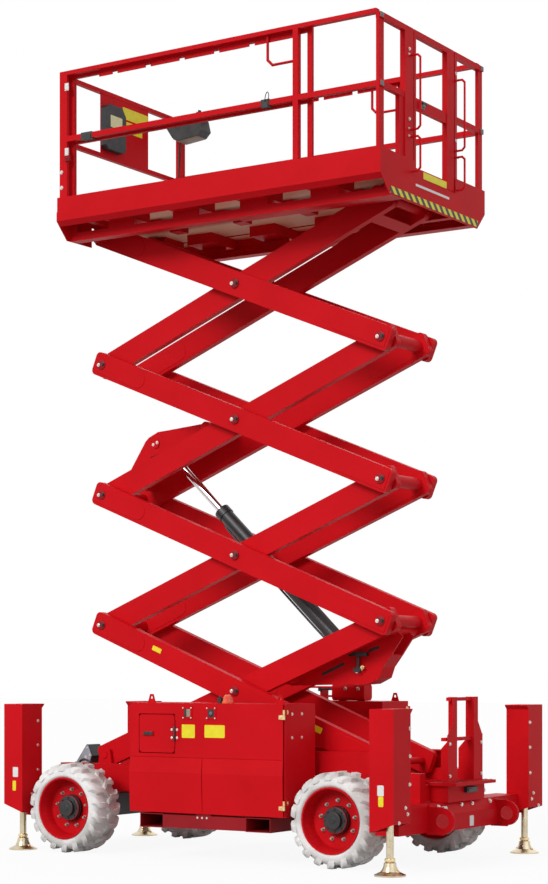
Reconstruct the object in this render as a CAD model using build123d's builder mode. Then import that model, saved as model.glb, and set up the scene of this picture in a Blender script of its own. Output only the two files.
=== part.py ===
"""Rough-terrain scissor lift: four-level scissor stack, sliding deck extension, four outriggers.

Frame: millimetres, +X towards the entry gate and ladder (rear), -X towards the steered
wheels (front), -Y is the near side, +Z up, origin on the floor under the middle of the machine.
"""
import os
from math import atan2, cos, degrees, hypot, pi, radians, sin, sqrt

from build123d import *

os.makedirs("parts", exist_ok=True)

SIDES = {"near": -1, "far": 1}

# ---------------------------------------------------------------- wheels and axles
FRONT_AXLE_X = -1230
REAR_AXLE_X = 1060
AXLE_Z = 330
TYRE_RADIUS = 330
TYRE_CENTRE_Y = 730
TREAD_HALF = 122
LUG_HEIGHT = 22
LUG_COUNT = 18
LUG_WIDTH = 42
LUG_SKEW = 28
BEAD_RADIUS = 223
BEAD_HALF = 108
SHOULDER_HALF = 112
SIDEWALL_HALF = 150
SIDEWALL_RADII = (242, 272)
RIM_HALF = 140
RIM_SIDES = 36
RIM_WALL = 8
DISC_Y = 745
HUB_RADIUS = 92
HUB_END_Y = 836
SPINDLE_RADIUS = 38
KINGPIN_Y = 700

# ---------------------------------------------------------------- scissor stack
LEVELS = 4
ARM_LENGTH = 2625
ARM_ANGLE = 22.06
ARM_HEIGHT = 175
ARM_END = 75
ARM_END_TOP = 48
ARM_CORNER = 36
INNER_Y = (200, 260)
OUTER_Y = (270, 330)
FIXED_X = -1291
BASE_Z = 700
RUN = ARM_LENGTH * cos(radians(ARM_ANGLE))
RISE = ARM_LENGTH * sin(radians(ARM_ANGLE))
SLIDE_X = FIXED_X + RUN
CENTRE_X = FIXED_X + RUN / 2
TOP_Z = BASE_Z + LEVELS * RISE
SHAFT_RADIUS = 25
BORE_RADIUS = 26
TUBE_RADIUS = 45
PIN_CAP_RADIUS = 34
ROLLER_RADIUS = 50
ROLLER_Y = (342, 388)
SLIDE_TRAVEL_X = (SLIDE_X - 1125, SLIDE_X + 195)

# ---------------------------------------------------------------- lift cylinder
LOWER_PIN = (832, 1342)
UPPER_PIN = (-960, 3063)
BARREL_RADIUS = 55
BARREL_LENGTH = 1725
BARREL_BORE = 45
ROD_RADIUS = 29
ROD_LENGTH = 1900
EYE_RADIUS = 46
ROD_EYE_RADIUS = 42
EYE_HALF_WIDTH = 38
EAR_Y = (67, 87)
EAR_TUBE_RADIUS = 38
LOWER_EAR = [(250, 1232), (902, 1246), (995, 1290), (1023, 1367), (1088, 1451), (1180, 1580), (1122, 1634),
             (700, 1480), (240, 1290)]
LOWER_SLOTS = [((515, 1311), (706, 1393)), ((900, 1480), (995, 1509))]
LOWER_BACK = [(860, 1242), (902, 1246), (995, 1290), (1023, 1367), (1088, 1451), (1077, 1460), (1011, 1372),
              (986, 1299), (897, 1258), (860, 1254)]
LOWER_TUBES = [(1110, 1625, 38), (300, 1268, 28)]  # x, z, radius
UPPER_EAR = [(-1220, 2780), (-1220, 2843), (-1058, 3085), (-1026, 3113), (-941, 3151), (-856, 3157),
             (-460, 3192), (-389, 3184), (-385, 3110), (-760, 2950), (-1000, 2850), (-1150, 2735)]
UPPER_SLOTS = [((-830, 3016), (-652, 3073)), ((-1010, 2953), (-920, 2978))]
UPPER_TUBE = (-1185, 2768)
UPPER_STUB = (-430, 3148)
STUB_END_Y = 193
STUB_PAD = (977, 88)  # along and across the arm
SLOT_WIDTH = 22

# ---------------------------------------------------------------- chassis
RAIL_Y = (335, 415)
RAIL_Z = (440, 640)
RAIL_X = (-1620, 1500)
CABINET_X = (-617, 698)
CABINET_Y = (472, 862)
CABINET_Z = (336, 1112)
SEAM_Z = 727
FORK_X = (-430, 475)
FORK_CLEAR = (193, 88)
FORK_WALL = 6
FORK_BOTTOM = 226

# ---------------------------------------------------------------- outriggers
HOUSING_X = {"front": (-1785, -1610), "rear": (1508, 1688)}
HOUSING_Y = {"front": (650, 880), "rear": (885, 1115)}
HOUSING_TOP = 1092
HOUSING_BOTTOM = (345, 285)
HOUSING_WALL = 6
HOUSING_LIP = 26
LEG_RADIUS = 25
LEG_TOP = 760
FOOT_RADIUS = 105

# ---------------------------------------------------------------- platform
DECK_X = (-1377, 1392)
DECK_HALF = 765
DECK_TOP = 4742
DECK_SKIN = 4
SHEET = 6
TOE_TOP = 4848
FASCIA_BOTTOM = 4675
LIP = 35
FRAME_BOTTOM = 4551
FRAME_HALF = 645
BEAM_Y = (520, 606)
BEAM_SILL = 4612
HAT_BOTTOM = 4660
HAT_HALF = 115
HAT_X = (-900, -315, 270, 857)
STIFFENER_BOTTOM = 4696
TRACK_WEB_Y = (395, 405)
TRACK_Z = (4582, 4590)
RAIL_SIDE_Y = (709, 755)
RAIL_TOP_Z = (5750, 5780)
RAIL_MID_Z = (5257, 5296)
REAR_BAR_Z = (5716, 5754)
REAR_PANEL_X = (1346, 1386)
GATE_Y = (-290, 295)
GATE_STILE = (28, 105)
NEAR_GATE_POST_Y = (-418, -300)
FAR_GATE_POST_Y = (306, 341)
GATE_HINGE = (1338, 300.5)
HINGE_BARREL = 8
NOTCH_X = (-875, -575, -275, 25, 325)
NOTCH_HALF = 24
EXTENSION_X = (-1371, 812)
EXTENSION_HALF = 706
EXTENSION_DECK_END = 300
EXTENSION_RAIL_Y = (674, 698)
EXTENSION_TOP_Z = (5732, 5764)
EXTENSION_MID_Z = (5245, 5278)
HANDLE_RADIUS = 8


# ================================================================ helpers
def block(x, y, z, mode=Mode.ADD):
    """Rectangular bar between two X, two Y and two Z values."""
    with Locations(((x[0] + x[1]) / 2, (y[0] + y[1]) / 2, (z[0] + z[1]) / 2)):
        Box(x[1] - x[0], y[1] - y[0], z[1] - z[0], mode=mode)


def sided(y, side):
    """A pair of distances from the middle as two Y values on one side of the machine."""
    return tuple(sorted((side * y[0], side * y[1])))


def mirrored_block(x, y, z, mode=Mode.ADD):
    """The same bar on both sides of the machine."""
    for side in SIDES.values():
        block(x, sided(y, side), z, mode)


def side_plane(y, x=0, z=0, angle=0):
    """Sketch plane with its local X along an arm in the X-Z plane; it faces -Y."""
    a = radians(angle)
    return Plane(origin=(x, y, z), x_dir=(cos(a), 0, sin(a)), z_dir=(0, -1, 0))


def side_plate(points, y, mode=Mode.ADD):
    """Plate between two Y values, from its corner points (x, z)."""
    with BuildSketch(side_plane(y[1])) as face:
        with BuildLine():
            Polyline(*points, close=True)
        make_face()
    extrude(face.sketch, amount=y[1] - y[0], mode=mode)


def end_plate(points, x, mode=Mode.ADD):
    """Plate between two X values, from its corner points (y, z)."""
    with BuildSketch(Plane.YZ.offset(x[0])) as face:
        with BuildLine():
            Polyline(*points, close=True)
        make_face()
    extrude(face.sketch, amount=x[1] - x[0], mode=mode)


def shaft(x, z, y, radius, mode=Mode.ADD):
    """Round bar along Y at (x, z) between two Y values."""
    with BuildSketch(side_plane(y[1])) as face:
        with Locations((x, z)):
            Circle(radius)
    extrude(face.sketch, amount=y[1] - y[0], mode=mode)


def upright(x, y, z, radius, mode=Mode.ADD):
    """Round bar along Z at (x, y) between two Z values."""
    with BuildSketch(Plane.XY.offset(z[0])) as face:
        with Locations((x, y)):
            Circle(radius)
    extrude(face.sketch, amount=z[1] - z[0], mode=mode)


def bent_bar(points, corner, radius):
    """Eight-sided bar along a path whose corners are cut off."""
    path = [Vector(*point) for point in points]
    bends = [path[0]]
    for before, at, after in zip(path, path[1:], path[2:]):
        bends += [at + (before - at).normalized() * corner, at + (after - at).normalized() * corner]
    with BuildLine() as line:
        Polyline(*bends, path[-1])
    with BuildSketch(Plane(origin=path[0], z_dir=(path[1] - path[0]).normalized())) as section:
        RegularPolygon(radius, 8)
    sweep(section.sketch, path=line.line, transition=Transition.RIGHT)


def slot(start, end, y, width):
    """Lens-shaped slot through a side plate, between the middles (x, z) of its two ends."""
    with BuildSketch(side_plane(y[1], *((start[0] + end[0]) / 2, (start[1] + end[1]) / 2),
                                degrees(atan2(end[1] - start[1], end[0] - start[0])))) as face:
        SlotOverall(hypot(end[0] - start[0], end[1] - start[1]), width)
    extrude(face.sketch, amount=y[1] - y[0], mode=Mode.SUBTRACT)


def finish(part, name):
    """Label a finished piece and write its file."""
    part.label = name
    export_step(part, f"parts/{name}.step")
    return part


# ================================================================ wheels
def flat_sided(sections, sides, mode=Mode.ADD):
    """Round body with flat sides, through polygons given as pairs of height and radius."""
    for (low, low_radius), (high, high_radius) in zip(sections, sections[1:]):
        faces = []
        for z, radius in ((low, low_radius), (high, high_radius)):
            with BuildSketch(Plane.XY.offset(z)) as section:
                RegularPolygon(radius, sides, major_radius=False)
            faces.append(section.sketch.face())
        loft(faces, ruled=True, mode=mode)


def tyre_part():
    """Tyre on the Z axis at the origin, outer side towards +Z, lugs in a two-row chevron."""
    lug_length = TREAD_HALF + 12
    lug_reach = (LUG_WIDTH * cos(radians(LUG_SKEW)) + lug_length * sin(radians(LUG_SKEW))) / 2
    lug_top = sqrt(TYRE_RADIUS**2 - lug_reach**2)
    base = lug_top - LUG_HEIGHT
    sink = LUG_HEIGHT - 4
    with BuildPart() as tyre:
        flat_sided([(-SIDEWALL_HALF, SIDEWALL_RADII[1]), (-SHOULDER_HALF, base - 3),
                    (SHOULDER_HALF, base - 3), (SIDEWALL_HALF, SIDEWALL_RADII[1])], LUG_COUNT)
        for row in (1, -1):
            turn = 0 if row == 1 else 180 / LUG_COUNT
            with PolarLocations(0, LUG_COUNT, start_angle=turn):
                with Locations(Location(((lug_top + base - sink) / 2, 0, row * (TREAD_HALF - lug_length / 2)),
                                        (row * LUG_SKEW, 0, 0))):
                    Box(LUG_HEIGHT + sink, LUG_WIDTH, lug_length)
        flat_sided([(-SIDEWALL_HALF - 1, BEAD_RADIUS), (BEAD_HALF, BEAD_RADIUS),
                    (SIDEWALL_HALF + 1, SIDEWALL_RADII[0])], LUG_COUNT, mode=Mode.SUBTRACT)
    return tyre.part


def rim_part():
    """Dished rim with its planetary hub, on the Z axis, outer side towards +Z."""
    disc = DISC_Y - TYRE_CENTRE_Y
    hub_end = HUB_END_Y - TYRE_CENTRE_Y
    outer = (BEAD_RADIUS - 0.5) * cos(pi / RIM_SIDES)
    inner = outer - RIM_WALL
    with BuildPart() as rim:
        flat_sided([(-RIM_HALF, outer), (RIM_HALF, outer)], RIM_SIDES)
        flat_sided([(RIM_HALF - 6, outer + 6), (RIM_HALF, outer + 6)], RIM_SIDES)
        flat_sided([(-RIM_HALF - 1, inner), (disc, inner)], RIM_SIDES, mode=Mode.SUBTRACT)
        flat_sided([(disc + 14, inner - 20), (84, inner - 14), (RIM_HALF + 1, inner + 2)], RIM_SIDES,
                   mode=Mode.SUBTRACT)
        upright(0, 0, (disc, hub_end - 28), HUB_RADIUS)
        upright(0, 0, (hub_end - 30, hub_end), HUB_RADIUS - 34)
        upright(0, 0, (disc - 1, hub_end - 30), SPINDLE_RADIUS + 5, mode=Mode.SUBTRACT)
    return rim.part


def stand_wheel(part, x, side):
    """Turn a wheel made on the Z axis so that its outer side faces one side of the machine."""
    where = Plane(origin=(x, side * TYRE_CENTRE_Y, AXLE_Z), x_dir=(1, 0, 0), z_dir=(0, side, 0))
    return where.location * part


tyre_blank = tyre_part()
rim_blank = rim_part()
for end, axle_x in (("front", FRONT_AXLE_X), ("rear", REAR_AXLE_X)):
    for side_name, side in SIDES.items():
        finish(stand_wheel(tyre_blank, axle_x, side), f"{end}_{side_name}_tyre")
        finish(stand_wheel(rim_blank, axle_x, side), f"{end}_{side_name}_rim")

# ================================================================ axles
with BuildPart() as front_axle:
    block((FRONT_AXLE_X - 75, FRONT_AXLE_X + 75), (-430, 430), (250, 410))
    mirrored_block((FRONT_AXLE_X - 50, FRONT_AXLE_X + 50), (420, 600), (255, 405))
    mirrored_block((FRONT_AXLE_X - 50, FRONT_AXLE_X + 50), (560, 600), (170, 490))
    mirrored_block((FRONT_AXLE_X - 50, FRONT_AXLE_X + 50), (590, 700), (170, 195))
    mirrored_block((FRONT_AXLE_X - 50, FRONT_AXLE_X + 50), (590, 700), (465, 490))
    for side in SIDES.values():
        upright(FRONT_AXLE_X, side * KINGPIN_Y, (170, 195), 38)
        upright(FRONT_AXLE_X, side * KINGPIN_Y, (465, 490), 38)
        upright(FRONT_AXLE_X, side * KINGPIN_Y, (165, 495), 14, mode=Mode.SUBTRACT)
finish(front_axle.part, "front_axle")

with BuildPart() as rear_axle:
    block((REAR_AXLE_X - 70, REAR_AXLE_X + 70), (-600, 600), (260, 400))
    for side in SIDES.values():
        shaft(REAR_AXLE_X, AXLE_Z, sided((590, 738), side), 88)
        shaft(REAR_AXLE_X, AXLE_Z, sided((730, 796), side), SPINDLE_RADIUS)
finish(rear_axle.part, "rear_axle")

for side_name, side in SIDES.items():
    with BuildPart() as knuckle:
        upright(FRONT_AXLE_X, side * KINGPIN_Y, (200, 460), 32)
        upright(FRONT_AXLE_X, side * KINGPIN_Y, (172, 488), 13)
        shaft(FRONT_AXLE_X, AXLE_Z, sided((KINGPIN_Y, 738), side), 88)
        shaft(FRONT_AXLE_X, AXLE_Z, sided((KINGPIN_Y, 796), side), SPINDLE_RADIUS)
        block((FRONT_AXLE_X + 20, FRONT_AXLE_X + 150), sided((668, 700), side), (318, 342))
    finish(knuckle.part, f"{side_name}_knuckle")

# ================================================================ chassis
with BuildPart() as chassis_rails:
    mirrored_block(RAIL_X, RAIL_Y, RAIL_Z)
    # tracks for the rollers of the lowest level
    mirrored_block(SLIDE_TRAVEL_X, (395, 405), (630, 775))
    mirrored_block(SLIDE_TRAVEL_X, (345, 405), (765, 775))
    mirrored_block(SLIDE_TRAVEL_X, (345, 405), (639, 646))
    # hangers that carry the axles and the fork pockets
    mirrored_block((FRONT_AXLE_X - 60, FRONT_AXLE_X + 60), (340, 400), (410, 445))
    mirrored_block((REAR_AXLE_X - 60, REAR_AXLE_X + 60), (340, 410), (400, 445))
    for x in FORK_X:
        mirrored_block((x - 60, x + 60), (340, 410), (FORK_BOTTOM + FORK_CLEAR[1] + 2 * FORK_WALL, 445))
    # outboard brackets of the two cabinets
    for x in ((-540, -500), (580, 620)):
        mirrored_block(x, (410, CABINET_Y[0]), (470, 620))
finish(chassis_rails.part, "chassis_rails")

CROSS_MEMBER_X = [(-1620, -1600), (-1370, -1210), (-880, -780), (100, 200), (700, 780), (1200, 1290),
                  (1480, 1500)]
with BuildPart() as cross_members:
    for x in CROSS_MEMBER_X:
        block(x, (-RAIL_Y[0], RAIL_Y[0]), (450, 560))
    # ears of the fixed pivot, on the second cross member
    for side in SIDES.values():
        y = sided((272, 292), side)
        side_plate([(FIXED_X - 78, 555), (FIXED_X + 78, 555), (FIXED_X + 45, 745), (FIXED_X - 45, 745)], y)
        shaft(FIXED_X, BASE_Z, y, BORE_RADIUS, mode=Mode.SUBTRACT)
finish(cross_members.part, "chassis_cross_members")

# valve block with a slanted lid, on the front cross member
with BuildPart() as valve_block:
    side_plate([(-1612, 560), (-1500, 560), (-1440, 690), (-1478, 775), (-1498, 775), (-1598, 640),
                (-1612, 640)], (-250, -110))
finish(valve_block.part, "front_valve_block")

with BuildPart() as fork_pockets:
    outer = (FORK_CLEAR[0] + 2 * FORK_WALL, FORK_CLEAR[1] + 2 * FORK_WALL)
    z = (FORK_BOTTOM, FORK_BOTTOM + outer[1])
    for x in FORK_X:
        block((x - outer[0] / 2, x + outer[0] / 2), (-862, 862), z)
    for y in ((470, 500), (800, 862)):
        mirrored_block((FORK_X[0], FORK_X[1]), y, (z[0] + 4, z[1] - 4))
    for x in FORK_X:
        block((x - FORK_CLEAR[0] / 2, x + FORK_CLEAR[0] / 2), (-870, 870),
              (z[0] + FORK_WALL, z[1] - FORK_WALL), mode=Mode.SUBTRACT)
    # latch box between the pockets, under the near cabinet
    block((-48, 80), (-858, -806), (283, CABINET_Z[0]))
finish(fork_pockets.part, "fork_pockets")

# ================================================================ cabinets and doors
DOOR_Y = (863, 871)
HINGE_X = CABINET_X[1]
HINGE_Y = 877
HINGE_RADIUS = 7
HINGE_Z = {"door": [(384, 417), (1005, 1039)], "cabinet": [(417.5, 450), (1039.5, 1073)]}
CREASE_Z = 620
CREASE_OUT = 10
INSPECTION = (-537, -222, 755, 1035)
INSPECTION_HINGE = (-222, -877)

for side_name, side in SIDES.items():
    with BuildPart() as cabinet:
        block(CABINET_X, sided(CABINET_Y, side), CABINET_Z)
        block((CABINET_X[0] + SHEET, CABINET_X[1] - SHEET),
              sided((CABINET_Y[0] + SHEET, CABINET_Y[1] + 1), side),
              (CABINET_Z[0] + SHEET, CABINET_Z[1] - SHEET), mode=Mode.SUBTRACT)
        for x in (-474, 621):
            with BuildSketch(side_plane(side * 800 + 6)) as eye:
                with BuildLine():
                    Polyline((x - 32, CABINET_Z[1] - 1), (x + 32, CABINET_Z[1] - 1),
                             (x + 12, CABINET_Z[1] + 62), (x - 12, CABINET_Z[1] + 62), close=True)
                make_face()
                with Locations((x, CABINET_Z[1] + 36)):
                    Circle(11, mode=Mode.SUBTRACT)
            extrude(eye.sketch, amount=12)
        for z in HINGE_Z["cabinet"]:
            upright(HINGE_X, side * HINGE_Y, z, HINGE_RADIUS)
            block((HINGE_X - 2, HINGE_X + 10), sided((CABINET_Y[1] - 8, HINGE_Y), side), z)
    finish(cabinet.part, f"{side_name}_cabinet")

    with BuildPart() as door:
        block((CABINET_X[0], CABINET_X[1] - 12), sided(DOOR_Y, side), (SEAM_Z + 3, CABINET_Z[1]))
        # lower panel, creased outwards
        end_plate([(side * DOOR_Y[0], CABINET_Z[0]), (side * DOOR_Y[1], CABINET_Z[0]),
                   (side * (DOOR_Y[1] + CREASE_OUT), CREASE_Z), (side * DOOR_Y[1], SEAM_Z - 3),
                   (side * DOOR_Y[0], SEAM_Z - 3)], (CABINET_X[0], CABINET_X[1] - 12))
        block((CABINET_X[0], CABINET_X[1] - 12), sided((DOOR_Y[0], DOOR_Y[0] + 4), side),
              (SEAM_Z - 4, SEAM_Z + 4))
        block((12, 18), sided((DOOR_Y[1] - 3, DOOR_Y[1] + 12), side), (CABINET_Z[0] - 1, SEAM_Z),
              mode=Mode.SUBTRACT)
        # stiffening ribs inside
        for x in (CABINET_X[0] + 14, CABINET_X[1] - 60):
            block((x, x + SHEET), sided((835, DOOR_Y[0] + 3), side), (CABINET_Z[0] + 14, CABINET_Z[1] - 14))
        for z in HINGE_Z["door"]:
            upright(HINGE_X, side * HINGE_Y, z, HINGE_RADIUS)
            block((CABINET_X[1] - 30, HINGE_X), sided((DOOR_Y[1] - 1, DOOR_Y[1] + 5), side), z)
        if side_name == "near":
            block(INSPECTION[:2], sided((855, 880), side), INSPECTION[2:], mode=Mode.SUBTRACT)
            for x in (-111, 93):
                block((x - 40, x + 40), (-877, -868), (1003, 1085))
                block((x - 26, x + 26), (-878, -869), (1015, 1073), mode=Mode.SUBTRACT)
    finish(door.part, f"{side_name}_door")

with BuildPart() as inspection_door:
    inner = (INSPECTION[0] + 5, INSPECTION[1] - 5, INSPECTION[2] + 5, INSPECTION[3] - 5)
    with BuildSketch(side_plane(-864, (inner[0] + inner[1]) / 2, (inner[2] + inner[3]) / 2)) as panel:
        RectangleRounded(inner[1] - inner[0], inner[3] - inner[2], 22)
    extrude(panel.sketch, amount=7)
    block((-493, -404), (-880, -870), (880, 912))
    for z in ((800, 835), (958, 993)):
        upright(*INSPECTION_HINGE, z, 5)
        block((inner[1] - 20, INSPECTION_HINGE[0]), (-877, -870), z)
finish(inspection_door.part, "near_inspection_door")

BEACON = (149, -750)
with BuildPart() as beacon:
    top = CABINET_Z[1]
    flat_sided([(top, 42), (top + 13, 42)], 24)
    flat_sided([(top + 12, 36), (top + 40, 33), (top + 56, 22), (top + 60, 8)], 24)
finish(Pos(*BEACON, 0) * beacon.part, "beacon")

# tank and rack on the far cabinet
with BuildPart() as far_tank:
    with BuildSketch(Plane.YZ.offset(190)) as section:
        with Locations((650, CABINET_Z[1] + 66)):
            RectangleRounded(120, 124, 30)
    extrude(section.sketch, amount=282)
    block((240, 262), (610, 690), (CABINET_Z[1], CABINET_Z[1] + 10))
    block((400, 422), (610, 690), (CABINET_Z[1], CABINET_Z[1] + 10))
    for x in (-96, 80):
        block((x, x + 14), (600, 700), (CABINET_Z[1], CABINET_Z[1] + 110))
    for z in (CABINET_Z[1] + 28, CABINET_Z[1] + 96):
        block((-96, 192), (600, 616), (z, z + 14))
        block((-96, 192), (684, 700), (z, z + 14))
finish(far_tank.part, "far_tank")

# ================================================================ outriggers
def housing(end, side):
    """Sheet-metal leg housing, open below, with the leg's cylinder hanging inside it."""
    x = HOUSING_X[end]
    y = sided(HOUSING_Y[end], side)
    out_x, in_x = (x[0], x[1]) if end == "front" else (x[1], x[0])
    side_plate([(out_x, HOUSING_BOTTOM[0]), (in_x, HOUSING_BOTTOM[1]), (in_x, HOUSING_TOP),
                (out_x, HOUSING_TOP)], y)
    block((x[0] + HOUSING_WALL, x[1] - HOUSING_WALL), (y[0] + HOUSING_WALL, y[1] - HOUSING_WALL),
          (200, HOUSING_TOP - HOUSING_WALL), mode=Mode.SUBTRACT)
    # folded lip on the inner top edge
    inner = side * HOUSING_Y[end][0]
    end_plate([(inner + side, HOUSING_TOP), (inner - side * HOUSING_LIP, HOUSING_TOP),
               (inner - side * HOUSING_LIP, HOUSING_TOP - 8),
               (inner + side, HOUSING_TOP - HOUSING_LIP - 8)], x)
    leg_x, leg_y = leg_place(end, side)
    upright(leg_x, leg_y, (400, HOUSING_TOP - 2), 45)
    upright(leg_x, leg_y, (390, HOUSING_TOP - 60), LEG_RADIUS + 1.5, mode=Mode.SUBTRACT)


def leg_place(end, side):
    """Middle of a leg, seen from above."""
    return sum(HOUSING_X[end]) / 2, side * sum(HOUSING_Y[end]) / 2


BEAM_X = {"front": (-1770, -1622), "rear": (1420, 1600)}
for end in ("front", "rear"):
    with BuildPart() as frame:
        for side in SIDES.values():
            housing(end, side)
        reach = HOUSING_Y[end][0] + 3
        block(BEAM_X[end], (-reach, reach), (250, 440))
        if end == "rear":
            for side in SIDES.values():
                y = sided((470, 494), side)
                block((1590, 1715), y, (235, 425))
                shaft(1715, 330, y, 87.5)
                shaft(1715, 330, y, 48, mode=Mode.SUBTRACT)
            side_plate([(1595, 248), (1640, 248), (1640, 362), (1606, 440), (1595, 440)], (-480, 480))
    finish(frame.part, f"{end}_outrigger_frame")

for end in ("front", "rear"):
    for side_name, side in SIDES.items():
        leg_x, leg_y = leg_place(end, side)
        with BuildPart() as leg:
            with BuildSketch(Plane.XZ.offset(-leg_y)):
                with BuildLine():
                    Polyline((leg_x, 0), (leg_x + FOOT_RADIUS, 0), (leg_x + FOOT_RADIUS, 10),
                             (leg_x + 58, 32), (leg_x + 44, 62), (leg_x + 40, 88), (leg_x + LEG_RADIUS, 92),
                             (leg_x + LEG_RADIUS, LEG_TOP), (leg_x, LEG_TOP), close=True)
                make_face()
            revolve(axis=Axis((leg_x, leg_y, 0), (0, 0, 1)))
        finish(leg.part, f"{end}_{side_name}_leg")

# ================================================================ ladder and rear step
LADDER_Y = (125, 258)
with BuildPart() as entry_ladder:
    for side in SIDES.values():
        y = sided(LADDER_Y, side)
        block((1624, 1632), y, (575, 900))
        end_plate([(side * LADDER_Y[0], 890), (side * LADDER_Y[1], 890), (side * (LADDER_Y[1] - 70), 990),
                   (side * (LADDER_Y[1] - 70), 1160), (side * LADDER_Y[0], 1160)], (1624, 1632))
        side_plate([(1510, 575), (1632, 575), (1632, 1160), (1567, 1160), (1567, 860), (1510, 800)],
                   sided((LADDER_Y[0], LADDER_Y[0] + 8), side))
    for z in (1145, 870):
        block((1575, 1615), (4 - LADDER_Y[1], LADDER_Y[1] - 4) if z < 900 else (-180, 180), (z - 12, z + 12))
    block((1502, 1715), (-300, 300), (555, 577))
    block((1502, 1640), (-270, 270), (441, 556))
finish(entry_ladder.part, "entry_ladder")


# ================================================================ scissor arms
def arm_pair(x, z, angle, y, left_end=ARM_END, right_end=ARM_END):
    """Two parallel arms from the pin at (x, z), one each side of the machine."""
    for start in (-y[0], y[1]):
        with BuildSketch(side_plane(start, x, z, angle)) as bar:
            with Locations(((ARM_LENGTH + right_end - left_end) / 2, 0)):
                RectangleRounded(ARM_LENGTH + left_end + right_end, ARM_HEIGHT, ARM_CORNER)
        extrude(bar.sketch, amount=y[1] - y[0])


def through_shaft(x, z, half, cap=True):
    """Pin shaft across the machine, with a round cap at each end."""
    shaft(x, z, (-half, half), SHAFT_RADIUS)
    if cap:
        for side in SIDES.values():
            shaft(x, z, sided((OUTER_Y[1] - 1, OUTER_Y[1] + 6), side), PIN_CAP_RADIUS)


def rollers(x, z):
    """Rollers on the ends of a sliding shaft."""
    for side in SIDES.values():
        shaft(x, z, sided(ROLLER_Y, side), ROLLER_RADIUS)


def bored_tube(x, z):
    """Cross tube between the two inner arms, bored for the shaft that turns in it."""
    shaft(x, z, (-INNER_Y[0] - 2, INNER_Y[0] + 2), TUBE_RADIUS)
    shaft(x, z, (-INNER_Y[1] - 1, INNER_Y[1] + 1), BORE_RADIUS, mode=Mode.SUBTRACT)


for level in range(1, LEVELS + 1):
    low = BASE_Z + (level - 1) * RISE
    high = low + RISE
    middle = (low + high) / 2

    with BuildPart() as outer:
        arm_pair(FIXED_X, high, -ARM_ANGLE, OUTER_Y, left_end=ARM_END_TOP if level == LEVELS else ARM_END)
        through_shaft(SLIDE_X, low, 384 if level == 1 else OUTER_Y[1] + 4, cap=level > 1)
        through_shaft(FIXED_X, high, 368 if level == LEVELS else OUTER_Y[1] + 4, cap=level < LEVELS)
        for side in SIDES.values():
            shaft(CENTRE_X, middle, sided((INNER_Y[0] - 3, OUTER_Y[1] + 4), side), SHAFT_RADIUS)
            shaft(CENTRE_X, middle, sided((OUTER_Y[1] - 1, OUTER_Y[1] + 6), side), PIN_CAP_RADIUS)
        if level == 1:
            rollers(SLIDE_X, low)
    finish(outer.part, f"outer_arms_{level}")

    with BuildPart() as inner:
        arm_pair(FIXED_X, low, ARM_ANGLE, INNER_Y, right_end=ARM_END_TOP if level == LEVELS else ARM_END)
        if level == 1:
            shaft(FIXED_X, low, (-INNER_Y[0] - 2, INNER_Y[0] + 2), TUBE_RADIUS)
            through_shaft(FIXED_X, low, 298, cap=False)
        else:
            bored_tube(FIXED_X, low)
        if level == LEVELS:
            shaft(SLIDE_X, high, (-INNER_Y[0] - 2, INNER_Y[0] + 2), TUBE_RADIUS)
            through_shaft(SLIDE_X, high, 384, cap=False)
            rollers(SLIDE_X, high)
        else:
            bored_tube(SLIDE_X, high)
        for side in SIDES.values():
            shaft(CENTRE_X, middle, sided((INNER_Y[0] - 4, INNER_Y[1] + 1), side), BORE_RADIUS,
                  mode=Mode.SUBTRACT)
        if level == 1:
            # plates below the arms that hold the foot of the lift cylinder
            for sign in SIDES.values():
                side_plate(LOWER_EAR, sided(EAR_Y, sign))
                for start, end in LOWER_SLOTS:
                    slot(start, end, sided(EAR_Y, sign), SLOT_WIDTH)
            side_plate(LOWER_BACK, (-EAR_Y[0] - 1, EAR_Y[0] + 1))
            for x, z, radius in LOWER_TUBES:
                shaft(x, z, (-INNER_Y[0] - 1, INNER_Y[0] + 1), radius)
            shaft(*LOWER_PIN, (-EAR_Y[1] - 8, EAR_Y[1] + 8), SHAFT_RADIUS)
            for sign in SIDES.values():
                shaft(*LOWER_PIN, sided((EAR_Y[1] - 1, EAR_Y[1] + 8), sign), PIN_CAP_RADIUS)
        if level == 3:
            # plates above the arms that hold the rod's eye from outside
            for sign in SIDES.values():
                side_plate(UPPER_EAR, sided(EAR_Y, sign))
                for start, end in UPPER_SLOTS:
                    slot(start, end, sided(EAR_Y, sign), SLOT_WIDTH)
                shaft(*UPPER_STUB, sided((EAR_Y[1] - 1, STUB_END_Y), sign), EAR_TUBE_RADIUS)
                pad_y = sided((STUB_END_Y - 2, INNER_Y[0] + 1), sign)
                with BuildSketch(side_plane(pad_y[1], FIXED_X, low, ARM_ANGLE)) as pad:
                    with Locations(STUB_PAD):
                        Rectangle(70, 50)
                extrude(pad.sketch, amount=pad_y[1] - pad_y[0])
                shaft(*UPPER_PIN, sided((EAR_Y[1] - 1, EAR_Y[1] + 8), sign), PIN_CAP_RADIUS)
            shaft(*UPPER_TUBE, (-INNER_Y[0] - 1, INNER_Y[0] + 1), EAR_TUBE_RADIUS)
        if level == LEVELS:
            # plate that ties the undersides of the two arms near their upper end
            with BuildSketch(side_plane(INNER_Y[0] + 1, FIXED_X, low, ARM_ANGLE)) as tie:
                with Locations((2480, 4 - ARM_HEIGHT / 2)):
                    Rectangle(100, 8)
            extrude(tie.sketch, amount=2 * INNER_Y[0] + 2)
    finish(inner.part, f"inner_arms_{level}")

# ================================================================ lift cylinder
CYLINDER_SPAN = hypot(UPPER_PIN[0] - LOWER_PIN[0], UPPER_PIN[1] - LOWER_PIN[1])
CYLINDER_DIR = Vector(UPPER_PIN[0] - LOWER_PIN[0], 0, UPPER_PIN[1] - LOWER_PIN[1]).normalized()


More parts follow.
